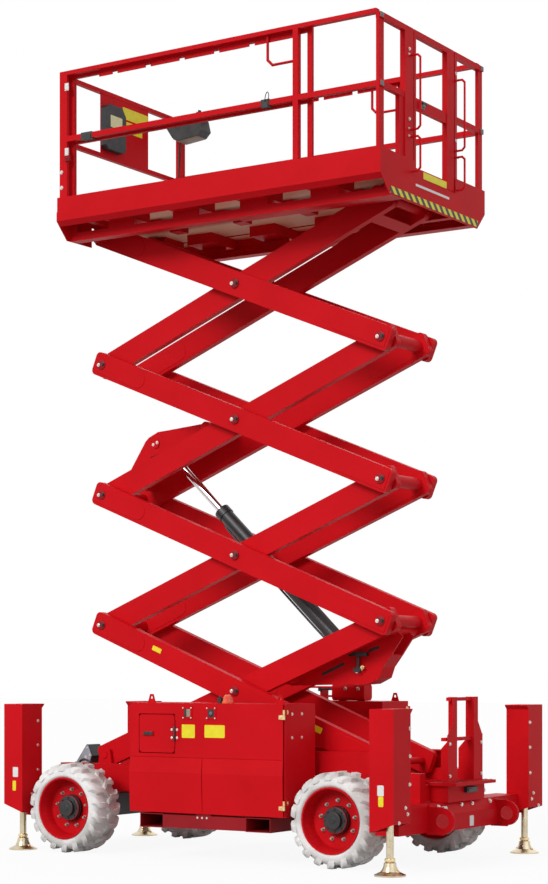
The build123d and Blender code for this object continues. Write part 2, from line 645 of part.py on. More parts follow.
def cylinder_plane(distance):
    """Plane across the lift cylinder at a distance from its lower pin."""
    at = Vector(LOWER_PIN[0], 0, LOWER_PIN[1]) + CYLINDER_DIR * distance
    return Plane(origin=at, x_dir=(0, 1, 0), z_dir=CYLINDER_DIR)


def along_cylinder(start, end, radius, mode=Mode.ADD):
    """Round bar along the lift cylinder between two distances from the lower pin."""
    with BuildSketch(cylinder_plane(start)) as face:
        Circle(radius)
    extrude(face.sketch, amount=end - start, mode=mode)


with BuildPart() as cylinder_barrel:
    along_cylinder(35, BARREL_LENGTH, BARREL_RADIUS)
    along_cylinder(BARREL_LENGTH - 60, BARREL_LENGTH, BARREL_RADIUS + 6)
    shaft(*LOWER_PIN, (-EYE_HALF_WIDTH, EYE_HALF_WIDTH), EYE_RADIUS)
    along_cylinder(62, BARREL_LENGTH - 50, BARREL_BORE, mode=Mode.SUBTRACT)
    along_cylinder(BARREL_LENGTH - 51, BARREL_LENGTH + 1, ROD_RADIUS + 1, mode=Mode.SUBTRACT)
    shaft(*LOWER_PIN, (-EYE_HALF_WIDTH - 1, EYE_HALF_WIDTH + 1), BORE_RADIUS, mode=Mode.SUBTRACT)
finish(cylinder_barrel.part, "lift_cylinder_barrel")

with BuildPart() as cylinder_rod:
    along_cylinder(CYLINDER_SPAN - ROD_LENGTH, CYLINDER_SPAN - 30, ROD_RADIUS)
    shaft(*UPPER_PIN, (-EYE_HALF_WIDTH, EYE_HALF_WIDTH), ROD_EYE_RADIUS)
    shaft(*UPPER_PIN, (5 - EAR_Y[0], EAR_Y[0] - 5), SHAFT_RADIUS)
finish(cylinder_rod.part, "lift_cylinder_rod")

# ================================================================ platform
with BuildPart() as platform_deck:
    block((DECK_X[0] + SHEET, DECK_X[1] - SHEET), (SHEET - DECK_HALF, DECK_HALF - SHEET),
          (DECK_TOP - DECK_SKIN, DECK_TOP))
finish(platform_deck.part, "platform_deck")

with BuildPart() as fascia:
    for side in SIDES.values():
        outer = side * DECK_HALF
        inner = side * (DECK_HALF - SHEET)
        end_plate([(outer, TOE_TOP), (outer, FASCIA_BOTTOM), (outer - side * LIP, FASCIA_BOTTOM - LIP),
                   (outer - side * (LIP + SHEET), FASCIA_BOTTOM - LIP + 3), (inner, FASCIA_BOTTOM + 3),
                   (inner, TOE_TOP)], (DECK_X[0] + SHEET, DECK_X[1] - SHEET))
finish(fascia.part, "platform_fascia")

with BuildPart() as cross_plates:
    for x in ((DECK_X[0], DECK_X[0] + SHEET), (DECK_X[1] - SHEET, DECK_X[1])):
        end_plate([(-DECK_HALF, FASCIA_BOTTOM), (-FRAME_HALF, FRAME_BOTTOM), (FRAME_HALF, FRAME_BOTTOM),
                   (DECK_HALF, FASCIA_BOTTOM), (DECK_HALF, TOE_TOP), (-DECK_HALF, TOE_TOP)], x)
    # the front end is open where the top arms swing through it, the rear end at the gate
    block((DECK_X[0] - 1, DECK_X[0] + SHEET + 1), (-348, 348), (FRAME_BOTTOM - 1, 4700), mode=Mode.SUBTRACT)
    block((DECK_X[0] - 1, DECK_X[0] + SHEET + 1), (-DECK_HALF - 1, DECK_HALF + 1), (DECK_TOP, TOE_TOP + 1),
          mode=Mode.SUBTRACT)
    block((DECK_X[1] - SHEET - 1, DECK_X[1] + 1), (NEAR_GATE_POST_Y[1], FAR_GATE_POST_Y[0]),
          (DECK_TOP, TOE_TOP + 1), mode=Mode.SUBTRACT)
    # stiffeners under the deck, left open in the middle over the lift cylinder
    for x in HAT_X:
        mirrored_block((x - 50, x + 50), (75, 185), (STIFFENER_BOTTOM, DECK_TOP - DECK_SKIN))
finish(cross_plates.part, "platform_cross_plates")

with BuildPart() as side_frames:
    length = (DECK_X[0] + SHEET, DECK_X[1] - SHEET)
    under_deck = DECK_TOP - DECK_SKIN
    mirrored_block(length, (BEAM_Y[1] - SHEET, BEAM_Y[1]), (FRAME_BOTTOM, under_deck))
    mirrored_block(length, BEAM_Y, (FRAME_BOTTOM, FRAME_BOTTOM + SHEET))
    # windows in the beam's web between the hat sections
    window_ends = [length[0] + 60, *[x + sign * HAT_HALF for x in HAT_X for sign in (-1, 1)], length[1] - 60]
    for start, end in zip(window_ends[::2], window_ends[1::2]):
        mirrored_block((start, end), (BEAM_Y[1] - SHEET - 1, BEAM_Y[1] + 1), (BEAM_SILL, under_deck - 8),
                       Mode.SUBTRACT)
    # track for the upper rollers and ear of the fixed pivot
    mirrored_block((SLIDE_TRAVEL_X[0], length[1]), TRACK_WEB_Y, (TRACK_Z[0], BEAM_SILL))
    mirrored_block((SLIDE_TRAVEL_X[0], length[1]), (ROLLER_Y[0] + 3, TRACK_WEB_Y[1]), TRACK_Z)
    for side in SIDES.values():
        y = sided((342, 362), side)
        side_plate([(FIXED_X - 50, 4585), (FIXED_X + 60, 4585), (FIXED_X + 110, under_deck),
                    (FIXED_X - 50, under_deck)], y)
        shaft(FIXED_X, TOP_Z, y, BORE_RADIUS, mode=Mode.SUBTRACT)
    mirrored_block((FIXED_X + 40, FIXED_X + 100), (355, BEAM_Y[1] - 2), (4690, under_deck))
    mirrored_block((length[1] - 60, length[1]), (TRACK_WEB_Y[0], BEAM_Y[1] - 2), (BEAM_SILL - 20, under_deck))
    # hat sections across the beam, with a hanger for the track
    for x in HAT_X:
        for side in SIDES.values():
            end_plate([(side * 400, HAT_BOTTOM), (side * (DECK_HALF - 30), HAT_BOTTOM),
                       (side * (DECK_HALF - SHEET), HAT_BOTTOM + 24),
                       (side * (DECK_HALF - SHEET), under_deck), (side * 400, under_deck)],
                      (x - HAT_HALF, x + HAT_HALF))
        if x > SLIDE_TRAVEL_X[0]:
            mirrored_block((x - 40, x + 40), (TRACK_WEB_Y[0], 430), (TRACK_Z[0], HAT_BOTTOM + 1))
finish(side_frames.part, "platform_side_frames")

with BuildPart() as guard_rails:
    side_x = (DECK_X[0] + 22, REAR_PANEL_X[0] + 6)
    mirrored_block(side_x, RAIL_SIDE_Y, RAIL_TOP_Z)
    mirrored_block(side_x, (RAIL_SIDE_Y[0] + 6, RAIL_SIDE_Y[1]), RAIL_MID_Z)
    # posts: a wide one in front, one in the middle, a flat one at the rear corner
    post_z = (DECK_TOP, RAIL_TOP_Z[0] + 1)
    mirrored_block((side_x[0], side_x[0] + 68), (RAIL_SIDE_Y[1] - 25, RAIL_SIDE_Y[1]), post_z)
    mirrored_block((690, 733), (RAIL_SIDE_Y[1] - 40, RAIL_SIDE_Y[1]), post_z)
    mirrored_block((REAR_PANEL_X[0] + 5, REAR_PANEL_X[0] + 29), (690, RAIL_SIDE_Y[1]), post_z)
    # rear panel each side of the gate
    for y in ((-RAIL_SIDE_Y[1] + 4, NEAR_GATE_POST_Y[1]), (FAR_GATE_POST_Y[0], RAIL_SIDE_Y[1] - 4)):
        block((REAR_PANEL_X[0], REAR_PANEL_X[1]), y, REAR_BAR_Z)
        block((REAR_PANEL_X[0], REAR_PANEL_X[1] - 4), y, RAIL_MID_Z)
    for y in (NEAR_GATE_POST_Y, FAR_GATE_POST_Y):
        block(REAR_PANEL_X, y, (DECK_TOP, REAR_BAR_Z[1]))
    block((REAR_PANEL_X[0], REAR_PANEL_X[1] - 8), (-484, NEAR_GATE_POST_Y[0] + 1),
          (DECK_TOP, RAIL_MID_Z[0] + 1))
    # latch strips with a notch for each stop of the extension
    for side in SIDES.values():
        y = sided((RAIL_SIDE_Y[0] - 6, RAIL_SIDE_Y[0] + 2), side)
        block((-1020, 700), y, (5707, RAIL_TOP_Z[0] + 6))
        for x in NOTCH_X:
            block((x - NOTCH_HALF, x + NOTCH_HALF), y, (5706, 5733), mode=Mode.SUBTRACT)
        # hanging hand loop ahead of the middle post
        loop_y = side * (RAIL_SIDE_Y[0] + 14)
        bent_bar([(466, loop_y, RAIL_TOP_Z[0] + 4), (466, loop_y, 5540), (700, loop_y, 5540)], 40, 10)
    # knuckles of the gate's hinge
    for z in ((5090, 5140), (5580, 5630)):
        upright(*GATE_HINGE, z, HINGE_BARREL)
        block((GATE_HINGE[0] - 2, REAR_PANEL_X[0] + 2), (GATE_HINGE[1] + 5.5, GATE_HINGE[1] + 14), z)
finish(guard_rails.part, "guard_rails")

with BuildPart() as grab_handles:
    for y, spans in ((-330, ((4765, 5003), (5053, 5562))), (324, ((4765, 5000), (5046, 5548)))):
        for low, high in spans:
            out = REAR_PANEL_X[1] + 70
            foot = (DECK_X[1] if low < TOE_TOP else REAR_PANEL_X[1]) + 0.5
            bent_bar([(foot, y, low), (out, y, low), (out, y, high), (REAR_PANEL_X[1] + 0.5, y, high)],
                     20, HANDLE_RADIUS)
finish(grab_handles.part, "grab_handles")

with BuildPart() as entry_gate:
    block(REAR_PANEL_X, GATE_Y, REAR_BAR_Z)
    block(REAR_PANEL_X, (GATE_Y[0], GATE_Y[0] + GATE_STILE[0]), (DECK_TOP + 6, REAR_BAR_Z[1]))
    block(REAR_PANEL_X, (GATE_Y[1] - GATE_STILE[1], GATE_Y[1]), (DECK_TOP + 6, REAR_BAR_Z[1]))
    block((REAR_PANEL_X[0] + 8, REAR_PANEL_X[1] - 4), GATE_Y, (5213, 5290))
    block((REAR_PANEL_X[1] - 8, REAR_PANEL_X[1] - 2), GATE_Y, (DECK_TOP + 6, 4806))
    for z in ((5140.5, 5190), (5630.5, 5680)):
        upright(*GATE_HINGE, z, HINGE_BARREL)
        block((GATE_HINGE[0] - 2, REAR_PANEL_X[0] + 2), (GATE_HINGE[1] - 14, GATE_HINGE[1] - 5.5), z)
finish(entry_gate.part, "entry_gate")

with BuildPart() as extension_deck:
    block((EXTENSION_X[0], EXTENSION_DECK_END), (-EXTENSION_HALF, EXTENSION_HALF),
          (DECK_TOP + 5, DECK_TOP + 20))
    block((EXTENSION_X[0], EXTENSION_X[0] + SHEET), (-EXTENSION_HALF, EXTENSION_HALF),
          (DECK_TOP + 5, TOE_TOP - 8))
    mirrored_block((EXTENSION_X[0], EXTENSION_DECK_END), (EXTENSION_HALF - SHEET, EXTENSION_HALF),
                   (DECK_TOP + 5, TOE_TOP - 8))
finish(extension_deck.part, "extension_deck")

with BuildPart() as extension_rails:
    front_x = EXTENSION_X[0] + SHEET + 10
    ext_y = EXTENSION_RAIL_Y
    for z in (EXTENSION_TOP_Z, EXTENSION_MID_Z):
        mirrored_block((front_x, EXTENSION_X[1]), ext_y, z)
        block((front_x, front_x + 34), (-ext_y[1], ext_y[1]), z)
    corner_post = (EXTENSION_X[0] + SHEET, EXTENSION_X[0] + SHEET + 98)
    mirrored_block((corner_post[1] - 46, corner_post[1]), (ext_y[0] - 10, ext_y[1]),
                   (DECK_TOP + 20, EXTENSION_TOP_Z[1]))
    mirrored_block((EXTENSION_X[1] - 38, EXTENSION_X[1]), ext_y, (DECK_TOP + 30, EXTENSION_TOP_Z[1]))
    block((front_x + 26, front_x + 32), (-300, 306), (EXTENSION_MID_Z[1] - 2, EXTENSION_TOP_Z[0] + 2))
finish(extension_rails.part, "extension_rails")

with BuildPart() as control_box:
    near_y = EXTENSION_RAIL_Y[0] - 16
    side_plate([(-1305, 5640), (-1250, 5560), (-1200, 5532), (-1010, 5548), (-968, 5590), (-990, 5680),
                (-1080, 5725), (-1305, 5725)], (near_y - 130, near_y))
    block((-1200, -1160), (near_y - 40, near_y + 16), (5700, EXTENSION_TOP_Z[0]))
finish(control_box.part, "control_box")

with BuildPart() as document_box:
    end_plate([(-300, 5335), (-275, 5308), (-80, 5308), (-56, 5332), (-56, 5590), (-100, 5650), (-255, 5650),
               (-300, 5615)], (front_x + 32, front_x + 88))
finish(document_box.part, "document_box")
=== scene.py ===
"""Looks of the rough-terrain scissor lift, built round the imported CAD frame.

Metres. +X points to the entry gate, the near side is -Y, and the floor is Z = 0.
"""

import math

import bmesh
import bpy
from mathutils import Matrix, Vector


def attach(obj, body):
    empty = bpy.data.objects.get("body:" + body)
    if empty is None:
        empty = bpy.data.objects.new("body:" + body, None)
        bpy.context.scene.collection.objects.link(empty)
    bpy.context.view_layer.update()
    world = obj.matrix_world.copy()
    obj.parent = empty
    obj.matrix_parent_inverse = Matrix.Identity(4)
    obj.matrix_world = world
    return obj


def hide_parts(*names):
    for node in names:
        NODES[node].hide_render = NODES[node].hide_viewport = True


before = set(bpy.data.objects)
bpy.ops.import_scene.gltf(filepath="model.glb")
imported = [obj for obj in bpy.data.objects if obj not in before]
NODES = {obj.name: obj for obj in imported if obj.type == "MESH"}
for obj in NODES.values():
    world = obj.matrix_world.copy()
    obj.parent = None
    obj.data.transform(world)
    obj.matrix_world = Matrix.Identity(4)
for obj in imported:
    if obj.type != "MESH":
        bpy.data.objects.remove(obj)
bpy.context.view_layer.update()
SIDES = {"near": -1, "far": 1}
ENDS = ("front", "rear")
LEVELS = range(1, 5)

# ---------------------------------------------------------------- camera
CAMERA_AT = (8.111, -12.476, 1.352)
CAMERA_TURN = 32.865
CAMERA_LENS = 82.22
CAMERA_SHIFT = 0.2569
SENSOR_WIDTH = 36
VIEW_DEPTH = 200

camera_data = bpy.data.cameras.new("camera")
camera_data.lens = CAMERA_LENS
camera_data.sensor_width = SENSOR_WIDTH
camera_data.shift_y = CAMERA_SHIFT
camera_data.clip_end = VIEW_DEPTH
camera = bpy.data.objects.new("camera", camera_data)
camera.location = CAMERA_AT
camera.rotation_euler = (math.radians(90), 0, math.radians(CAMERA_TURN))
bpy.context.scene.collection.objects.link(camera)
bpy.context.scene.camera = camera


# ---------------------------------------------------------------- node helpers
def node_material(name, **values):
    """New node material; values go to sockets of its shader."""
    material = bpy.data.materials.new(name)
    material.use_nodes = True
    shader = material.node_tree.nodes["Principled BSDF"]
    for key, value in values.items():
        socket = key.replace("_", " ").title().replace("Ior", "IOR")
        shader.inputs[socket].default_value = value
    return material, material.node_tree, shader


def math_node(tree, operation, *values):
    """Math node; each value is a number or the output that feeds it."""
    node = tree.nodes.new("ShaderNodeMath")
    node.operation = operation
    for socket, value in zip(node.inputs, values):
        if isinstance(value, (int, float)):
            socket.default_value = value
        else:
            tree.links.new(value, socket)
    return node.outputs[0]


def object_place(tree):
    """Place on the object."""
    return tree.nodes.new("ShaderNodeTexCoord").outputs["Object"]


def split_place(tree):
    """Node that splits the place on the object into X, Y and Z."""
    split = tree.nodes.new("ShaderNodeSeparateXYZ")
    tree.links.new(object_place(tree), split.inputs["Vector"])
    return split


def noise(tree, scale, detail):
    """Noise over the object."""
    node = tree.nodes.new("ShaderNodeTexNoise")
    node.inputs["Scale"].default_value = scale
    node.inputs["Detail"].default_value = detail
    tree.links.new(object_place(tree), node.inputs["Vector"])
    return node.outputs["Fac"]


def ramp(tree, factor, places, colours, steps="LINEAR"):
    """Colour that goes from one to the other between two places of a factor."""
    node = tree.nodes.new("ShaderNodeValToRGB")
    node.color_ramp.interpolation = steps
    for stop, place_on_ramp, colour in zip(node.color_ramp.elements, places, colours):
        stop.position = place_on_ramp
        stop.color = (*colour, 1)
    tree.links.new(factor, node.inputs["Fac"])
    return node.outputs["Color"]


def map_range(tree, value, start, end, **span):
    """Value brought from its own span to another one."""
    node = tree.nodes.new("ShaderNodeMapRange")
    for name, number in span.items():
        node.inputs[name.replace("_", " ").title()].default_value = number
    node.inputs["To Min"].default_value = start
    node.inputs["To Max"].default_value = end
    tree.links.new(value, node.inputs["Value"])
    return node.outputs["Result"]


# ---------------------------------------------------------------- materials
COLOUR_DETAIL = 4
TYRE_COLOUR_DETAIL = 8
BUMP_DETAIL = 5
BUMP_DEPTH = 0.002
TYRE_BUMP_DEPTH = 0.004
STRIPE_WIDTH = 0.045
DECK_SPLIT_Z = 4.7405  # the deck sheet is painted below and bare above
UNDERSIDE_SHADE_EDGE = (0.17, 0.24)  # the painted shade in the middle of the underside fades out between these distances from the middle


def rough_and_bump(tree, shader, rough, bump_scale, bump, depth=BUMP_DEPTH):
    """Roughness that wanders between two values, and a fine bump."""
    grain = noise(tree, bump_scale, BUMP_DETAIL)
    wandering = map_range(tree, grain, *rough, from_min=0.3, from_max=0.7)
    tree.links.new(wandering, shader.inputs["Roughness"])
    normal = tree.nodes.new("ShaderNodeBump")
    normal.inputs["Strength"].default_value = bump
    normal.inputs["Distance"].default_value = depth
    tree.links.new(grain, normal.inputs["Height"])
    tree.links.new(normal.outputs["Normal"], shader.inputs["Normal"])


def simple(name, colours, rough, scale, bump_scale, bump, **values):
    """Material with wandering colour, roughness and a fine bump."""
    material, tree, shader = node_material(name, **values)
    colour = ramp(tree, noise(tree, scale, COLOUR_DETAIL), (0.35, 0.65), colours)
    tree.links.new(colour, shader.inputs["Base Color"])
    rough_and_bump(tree, shader, rough, bump_scale, bump)
    return material


def tyre_material():
    """Non-marking pale rubber, greyer where dirt gathers, with fine cracks."""
    material, tree, shader = node_material("tyre_rubber", specular_ior_level=0.3)
    colour = ramp(tree, noise(tree, 5, TYRE_COLOUR_DETAIL), (0.38, 0.62),
                  ((0.62, 0.61, 0.59), (0.90, 0.89, 0.88)))
    tree.links.new(colour, shader.inputs["Base Color"])
    rough_and_bump(tree, shader, (0.75, 0.9), 26, 0.35, TYRE_BUMP_DEPTH)
    return material


def hazard_material():
    """Yellow and black stripes slanting across a band."""
    material, tree, shader = node_material("hazard_stripes", roughness=0.45)
    split = split_place(tree)
    slant = math_node(tree, "ADD", split.outputs["Y"], split.outputs["Z"])
    wave = math_node(tree, "PINGPONG", slant, STRIPE_WIDTH)
    share = math_node(tree, "DIVIDE", wave, STRIPE_WIDTH)
    colour = ramp(tree, share, (0, 0.5), ((0.012, 0.012, 0.012), (0.88, 0.70, 0.01)), "CONSTANT")
    tree.links.new(colour, shader.inputs["Base Color"])
    return material


def deck_material():
    """Deck sheet: bare chequered steel above, tan paint below, darkened to brown in the middle by
    painted shade.
    """
    material, tree, shader = node_material("deck_sheet", specular_ior_level=0.2)
    rough_and_bump(tree, shader, (0.45, 0.6), 90, 0.2)
    split = split_place(tree)
    above = math_node(tree, "GREATER_THAN", split.outputs["Z"], DECK_SPLIT_Z)
    across = math_node(tree, "ABSOLUTE", split.outputs["Y"])
    # tan underside, turning brown towards the middle as painted shade
    below = ramp(tree, across, UNDERSIDE_SHADE_EDGE, ((0.24, 0.12, 0.085), (0.90, 0.56, 0.37)))
    mixed = tree.nodes.new("ShaderNodeMix")
    mixed.data_type = "RGBA"
    tree.links.new(above, mixed.inputs["Factor"])
    painted, bare = [socket for socket in mixed.inputs if socket.type == "RGBA"]
    tree.links.new(below, painted)
    bare.default_value = (0.36, 0.36, 0.35, 1)
    colour = [socket for socket in mixed.outputs if socket.type == "RGBA"][0]
    tree.links.new(colour, shader.inputs["Base Color"])
    return material


RED = simple("red_paint", ((0.60, 0.004, 0.009), (0.66, 0.005, 0.011)),
             (0.42, 0.52), 2.5, 240, 0.03, specular_ior_level=0.09)
RIM_RED = simple("rim_paint", ((0.56, 0.005, 0.010), (0.66, 0.008, 0.014)),
                 (0.42, 0.52), 6, 200, 0.04, specular_ior_level=0.09)
# red paint darkened as painted shade: a shaded copy of the red paint, used on the fork pockets, pin
# caps, step studs and post latch
SHADED_RED = simple("dark_red_paint", ((0.26, 0.006, 0.010), (0.34, 0.008, 0.014)),
                  (0.45, 0.55), 3, 160, 0.05, specular_ior_level=0.2)
BLACK = simple("black_paint", ((0.010, 0.010, 0.011), (0.022, 0.022, 0.024)),
               (0.35, 0.5), 8, 200, 0.05)
BLACK_PLASTIC = simple("black_plastic", ((0.012, 0.012, 0.013), (0.028, 0.028, 0.03)),
                       (0.45, 0.6), 20, 600, 0.15)
HOSE = simple("hose_rubber", ((0.008, 0.008, 0.008), (0.02, 0.02, 0.02)),
              (0.5, 0.65), 30, 900, 0.2)
ZINC = simple("zinc", ((0.62, 0.60, 0.56), (0.74, 0.72, 0.68)),
              (0.25, 0.4), 30, 300, 0.06, metallic=1)
DULL_ZINC = simple("dull_zinc", ((0.28, 0.28, 0.25), (0.40, 0.39, 0.35)),
                   (0.35, 0.5), 30, 300, 0.06, metallic=1)
CHROME = simple("chrome_rod", ((0.72, 0.72, 0.74), (0.8, 0.8, 0.82)),
                (0.08, 0.16), 20, 300, 0.01, metallic=1)
LEG = simple("leg_steel", ((0.56, 0.47, 0.32), (0.70, 0.60, 0.43)),
             (0.2, 0.34), 14, 300, 0.03, metallic=1)
BRASS = simple("passivated_steel", ((0.72, 0.52, 0.22), (0.84, 0.68, 0.40)),
               (0.24, 0.4), 10, 160, 0.08, metallic=1)
YELLOW = simple("yellow_plate", ((0.86, 0.72, 0.01), (0.92, 0.80, 0.02)),
                (0.35, 0.5), 20, 300, 0.03)
PALE_YELLOW = simple("pale_yellow_plate", ((0.80, 0.76, 0.42), (0.86, 0.82, 0.50)),
                     (0.4, 0.5), 20, 300, 0.03)
WHITE = simple("white_plate", ((0.78, 0.78, 0.76), (0.86, 0.86, 0.84)),
               (0.4, 0.5), 20, 300, 0.03)
GREY = simple("grey_cover", ((0.40, 0.45, 0.52), (0.46, 0.51, 0.58)),
              (0.4, 0.55), 6, 200, 0.05)
TAN = simple("tan_tray", ((0.30, 0.24, 0.18), (0.38, 0.31, 0.24)),
             (0.5, 0.6), 10, 300, 0.05)
GREY_CAP = simple("grey_cap", ((0.16, 0.16, 0.17), (0.22, 0.22, 0.23)),
                  (0.5, 0.6), 20, 300, 0.05)
AMBER = simple("amber_lens", ((0.70, 0.05, 0.015), (0.85, 0.14, 0.02)),
               (0.12, 0.2), 20, 200, 0.02, coat_weight=0.5)
DECK = simple("deck_steel", ((0.32, 0.32, 0.31), (0.42, 0.42, 0.40)),
              (0.4, 0.55), 8, 90, 0.3, metallic=0.6)
TYRE = tyre_material()
DECK_SHEET = deck_material()
HAZARD = hazard_material()

# ---------------------------------------------------------------- mesh helpers
PIECE_EDGE_ANGLE = 35
CAD_EDGE_ANGLE = 30
WASHER_RATIO = 1.5
WASHER_THICK = 0.003
LABEL_SUNK = 0.001
BOLT_RADIUS = 0.011
BOLT_HEIGHT = 0.008


def add_edges(piece, width, segments, angle):
    """Small rounded edges where faces meet at more than an angle."""
    bevel = piece.modifiers.new("edges", "BEVEL")
    bevel.width = width
    bevel.segments = segments
    bevel.limit_method = "ANGLE"
    bevel.angle_limit = math.radians(angle)


def place(bm, name, material, body, bevel=0.0, smooth=True, segments=2):
    """Turn a bmesh into a piece that rides on a body."""
    mesh = bpy.data.meshes.new(name)
    bmesh.ops.recalc_face_normals(bm, faces=bm.faces)
    bm.to_mesh(mesh)
    bm.free()
    piece = bpy.data.objects.new(name, mesh)
    bpy.context.scene.collection.objects.link(piece)
    mesh.materials.append(material)
    if bevel:
        add_edges(piece, bevel, segments, PIECE_EDGE_ANGLE)
    if smooth:
        mesh.shade_smooth()
        mesh.set_sharp_from_angle(angle=math.radians(PIECE_EDGE_ANGLE))
    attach(piece, body)
    return piece


def add_box(bm, x, y, z):
    """Box between two X, two Y and two Z values."""
    centre = Vector(((x[0] + x[1]) / 2, (y[0] + y[1]) / 2, (z[0] + z[1]) / 2))
    size = (abs(x[1] - x[0]), abs(y[1] - y[0]), abs(z[1] - z[0]), 1)
    matrix = Matrix.Translation(centre) @ Matrix.Diagonal(size)
    bmesh.ops.create_cube(bm, size=1, matrix=matrix)


def turned(axis):
    """Matrix that turns Z onto an axis."""
    return Vector((0, 0, 1)).rotation_difference(Vector(axis)).to_matrix().to_4x4()


def add_disc(bm, centre, axis, radius, length, sides=20, top=None):
    """Round bar or cone centred on a point along an axis."""
    matrix = Matrix.Translation(Vector(centre)) @ turned(axis)
    top = radius if top is None else top
    bmesh.ops.create_cone(bm, cap_ends=True, segments=sides, radius1=radius, radius2=top,
                          depth=length, matrix=matrix)


def add_walls(bm, low, high):
    """Ring of four-cornered faces between two loops of vertices."""
    for i in range(len(low)):
        j = (i + 1) % len(low)
        bm.faces.new((low[i], low[j], high[j], high[i]))


def add_plate(bm, points, start, end, plane="xz"):
    """Flat plate from its outline, between two values on the axis across its plane."""
    def corner(a, b, c):
        return {"xz": (a, c, b), "yz": (c, a, b), "xy": (a, b, c)}[plane]
    low = [bm.verts.new(corner(a, b, start)) for a, b in points]
    high = [bm.verts.new(corner(a, b, end)) for a, b in points]
    bm.faces.new(low)
    bm.faces.new(high[::-1])
    add_walls(bm, low, high)


def add_turned(bm, profile, centre, axis, sides=40):
    """Closed solid turned about an axis, from (radius, height) points that start and end on it."""
    matrix = Matrix.Translation(Vector(centre)) @ turned(axis)
    rings = []
    for radius, height in profile:
        if not radius:
            rings.append([bm.verts.new(matrix @ Vector((0, 0, height)))])
            continue
        ring = []
        for i in range(sides):
            turn = 2 * math.pi * i / sides
            at = Vector((radius * math.cos(turn), radius * math.sin(turn), height))
            ring.append(bm.verts.new(matrix @ at))
        rings.append(ring)
    for low, high in zip(rings, rings[1:]):
        for i in range(sides):
            j = (i + 1) % sides
            quad = [low[i % len(low)], low[j % len(low)], high[j % len(high)], high[i % len(high)]]
            corners = list(dict.fromkeys(quad))
            if len(corners) > 2:
                bm.faces.new(corners)


def add_bolt(bm, at, axis, radius=BOLT_RADIUS, height=BOLT_HEIGHT):
    """Hexagon head with its washer."""
    at = Vector(at)
    axis = Vector(axis).normalized()
    add_disc(bm, at + axis * WASHER_THICK / 2, axis, radius * WASHER_RATIO, WASHER_THICK, 16)
    add_disc(bm, at + axis * (WASHER_THICK + height / 2), axis, radius, height, 6)


# ---------------------------------------------------------------- helpers for whole pieces
def solid(name, material, body, boxes=(), discs=(), bevel=0.0):
    """Piece put together from boxes and round bars."""
    bm = bmesh.new()
    for spans in boxes:
        add_box(bm, *spans)
    for values in discs:
        add_disc(bm, *values)
    return place(bm, name, material, body, bevel=bevel)


def bolts(name, body, spots, axis, radius=BOLT_RADIUS, height=BOLT_HEIGHT):
    """Bolt heads at the given places, all facing one way."""
    bm = bmesh.new()
    for at in spots:
        add_bolt(bm, at, axis, radius, height)
    return place(bm, name, ZINC, body)


def label(name, material, body, face, at, a, b, corner=0.005, thick=0.002):
    """Blank plate on a face: face is the way it looks, a and b are its two ranges on it."""
    points = [(a[0] + corner, b[0]), (a[1] - corner, b[0]), (a[1], b[0] + corner),
              (a[1], b[1] - corner), (a[1] - corner, b[1]), (a[0] + corner, b[1]),
              (a[0], b[1] - corner), (a[0], b[0] + corner)]
    sign = 1 if face[0] == "+" else -1
    plane = {"x": "yz", "y": "xz", "z": "xy"}[face[1]]
    bm = bmesh.new()
    add_plate(bm, points, at - sign * LABEL_SUNK, at + sign * thick, plane)
    return place(bm, name, material, body, bevel=0.0006, segments=1)


def tube(name, points, radius, material, body):
    """Smooth pipe or hose through control points."""
    curve = bpy.data.curves.new(name, "CURVE")
    curve.dimensions = "3D"
    curve.bevel_depth = radius
    curve.bevel_resolution = 3
    curve.resolution_u = 6
    curve.use_fill_caps = True
    spline = curve.splines.new("NURBS")
    spline.points.add(len(points) - 1)
    for point, at in zip(spline.points, points):
        point.co = (*at, 1)
    spline.order_u = 3
    spline.use_endpoint_u = True
    piece = bpy.data.objects.new(name, curve)
    curve.materials.append(material)
    bpy.context.scene.collection.objects.link(piece)
    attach(piece, body)
    return piece


# ---------------------------------------------------------------- CAD nodes: materials and edges
CAD_LOOKS = {
    "beacon": (AMBER, 0.002),
    "chassis_rails": (RED, 0.003),
    "chassis_cross_members": (RED, 0.003),
    "front_valve_block": (BLACK, 0.003),
    "far_tank": (RED, 0.002),
    "grab_handles": (RED, 0),
    "control_box": (BLACK_PLASTIC, 0.004),
    "document_box": (BLACK_PLASTIC, 0.006),
    "entry_gate": (RED, 0.004),
    "entry_ladder": (RED, 0.002),
    "extension_deck": (DECK, 0.001),
    "extension_rails": (RED, 0.004),
    "fork_pockets": (SHADED_RED, 0.002),
    "front_axle": (BLACK, 0.004),
    "rear_axle": (BLACK, 0.004),
    "front_outrigger_frame": (RED, 0.002),
    "rear_outrigger_frame": (RED, 0.002),
    "guard_rails": (RED, 0.004),
    "lift_cylinder_barrel": (BLACK, 0.002),
    "lift_cylinder_rod": (CHROME, 0.001),
    "near_inspection_door": (RED, 0.001),
    "platform_deck": (DECK_SHEET, 0),
    "platform_fascia": (RED, 0.001),
    "platform_cross_plates": (RED, 0.001),
    "platform_side_frames": (RED, 0.001),
}
for side_name in SIDES:
    CAD_LOOKS[f"{side_name}_cabinet"] = (RED, 0.002)
    CAD_LOOKS[f"{side_name}_door"] = (RED, 0.002)
    CAD_LOOKS[f"{side_name}_knuckle"] = (BLACK, 0.003)
    for end in ENDS:
        CAD_LOOKS[f"{end}_{side_name}_tyre"] = (TYRE, 0.006)
        CAD_LOOKS[f"{end}_{side_name}_rim"] = (RIM_RED, 0.002)
        CAD_LOOKS[f"{end}_{side_name}_leg"] = (LEG, 0.001)
for level in LEVELS:
    CAD_LOOKS[f"inner_arms_{level}"] = (RED, 0.006)
    CAD_LOOKS[f"outer_arms_{level}"] = (RED, 0.006)

for name, node in NODES.items():
    material, width = CAD_LOOKS[name]
    node.data.materials.clear()
    node.data.materials.append(material)
    if width:
        add_edges(node, width, 2, CAD_EDGE_ANGLE)

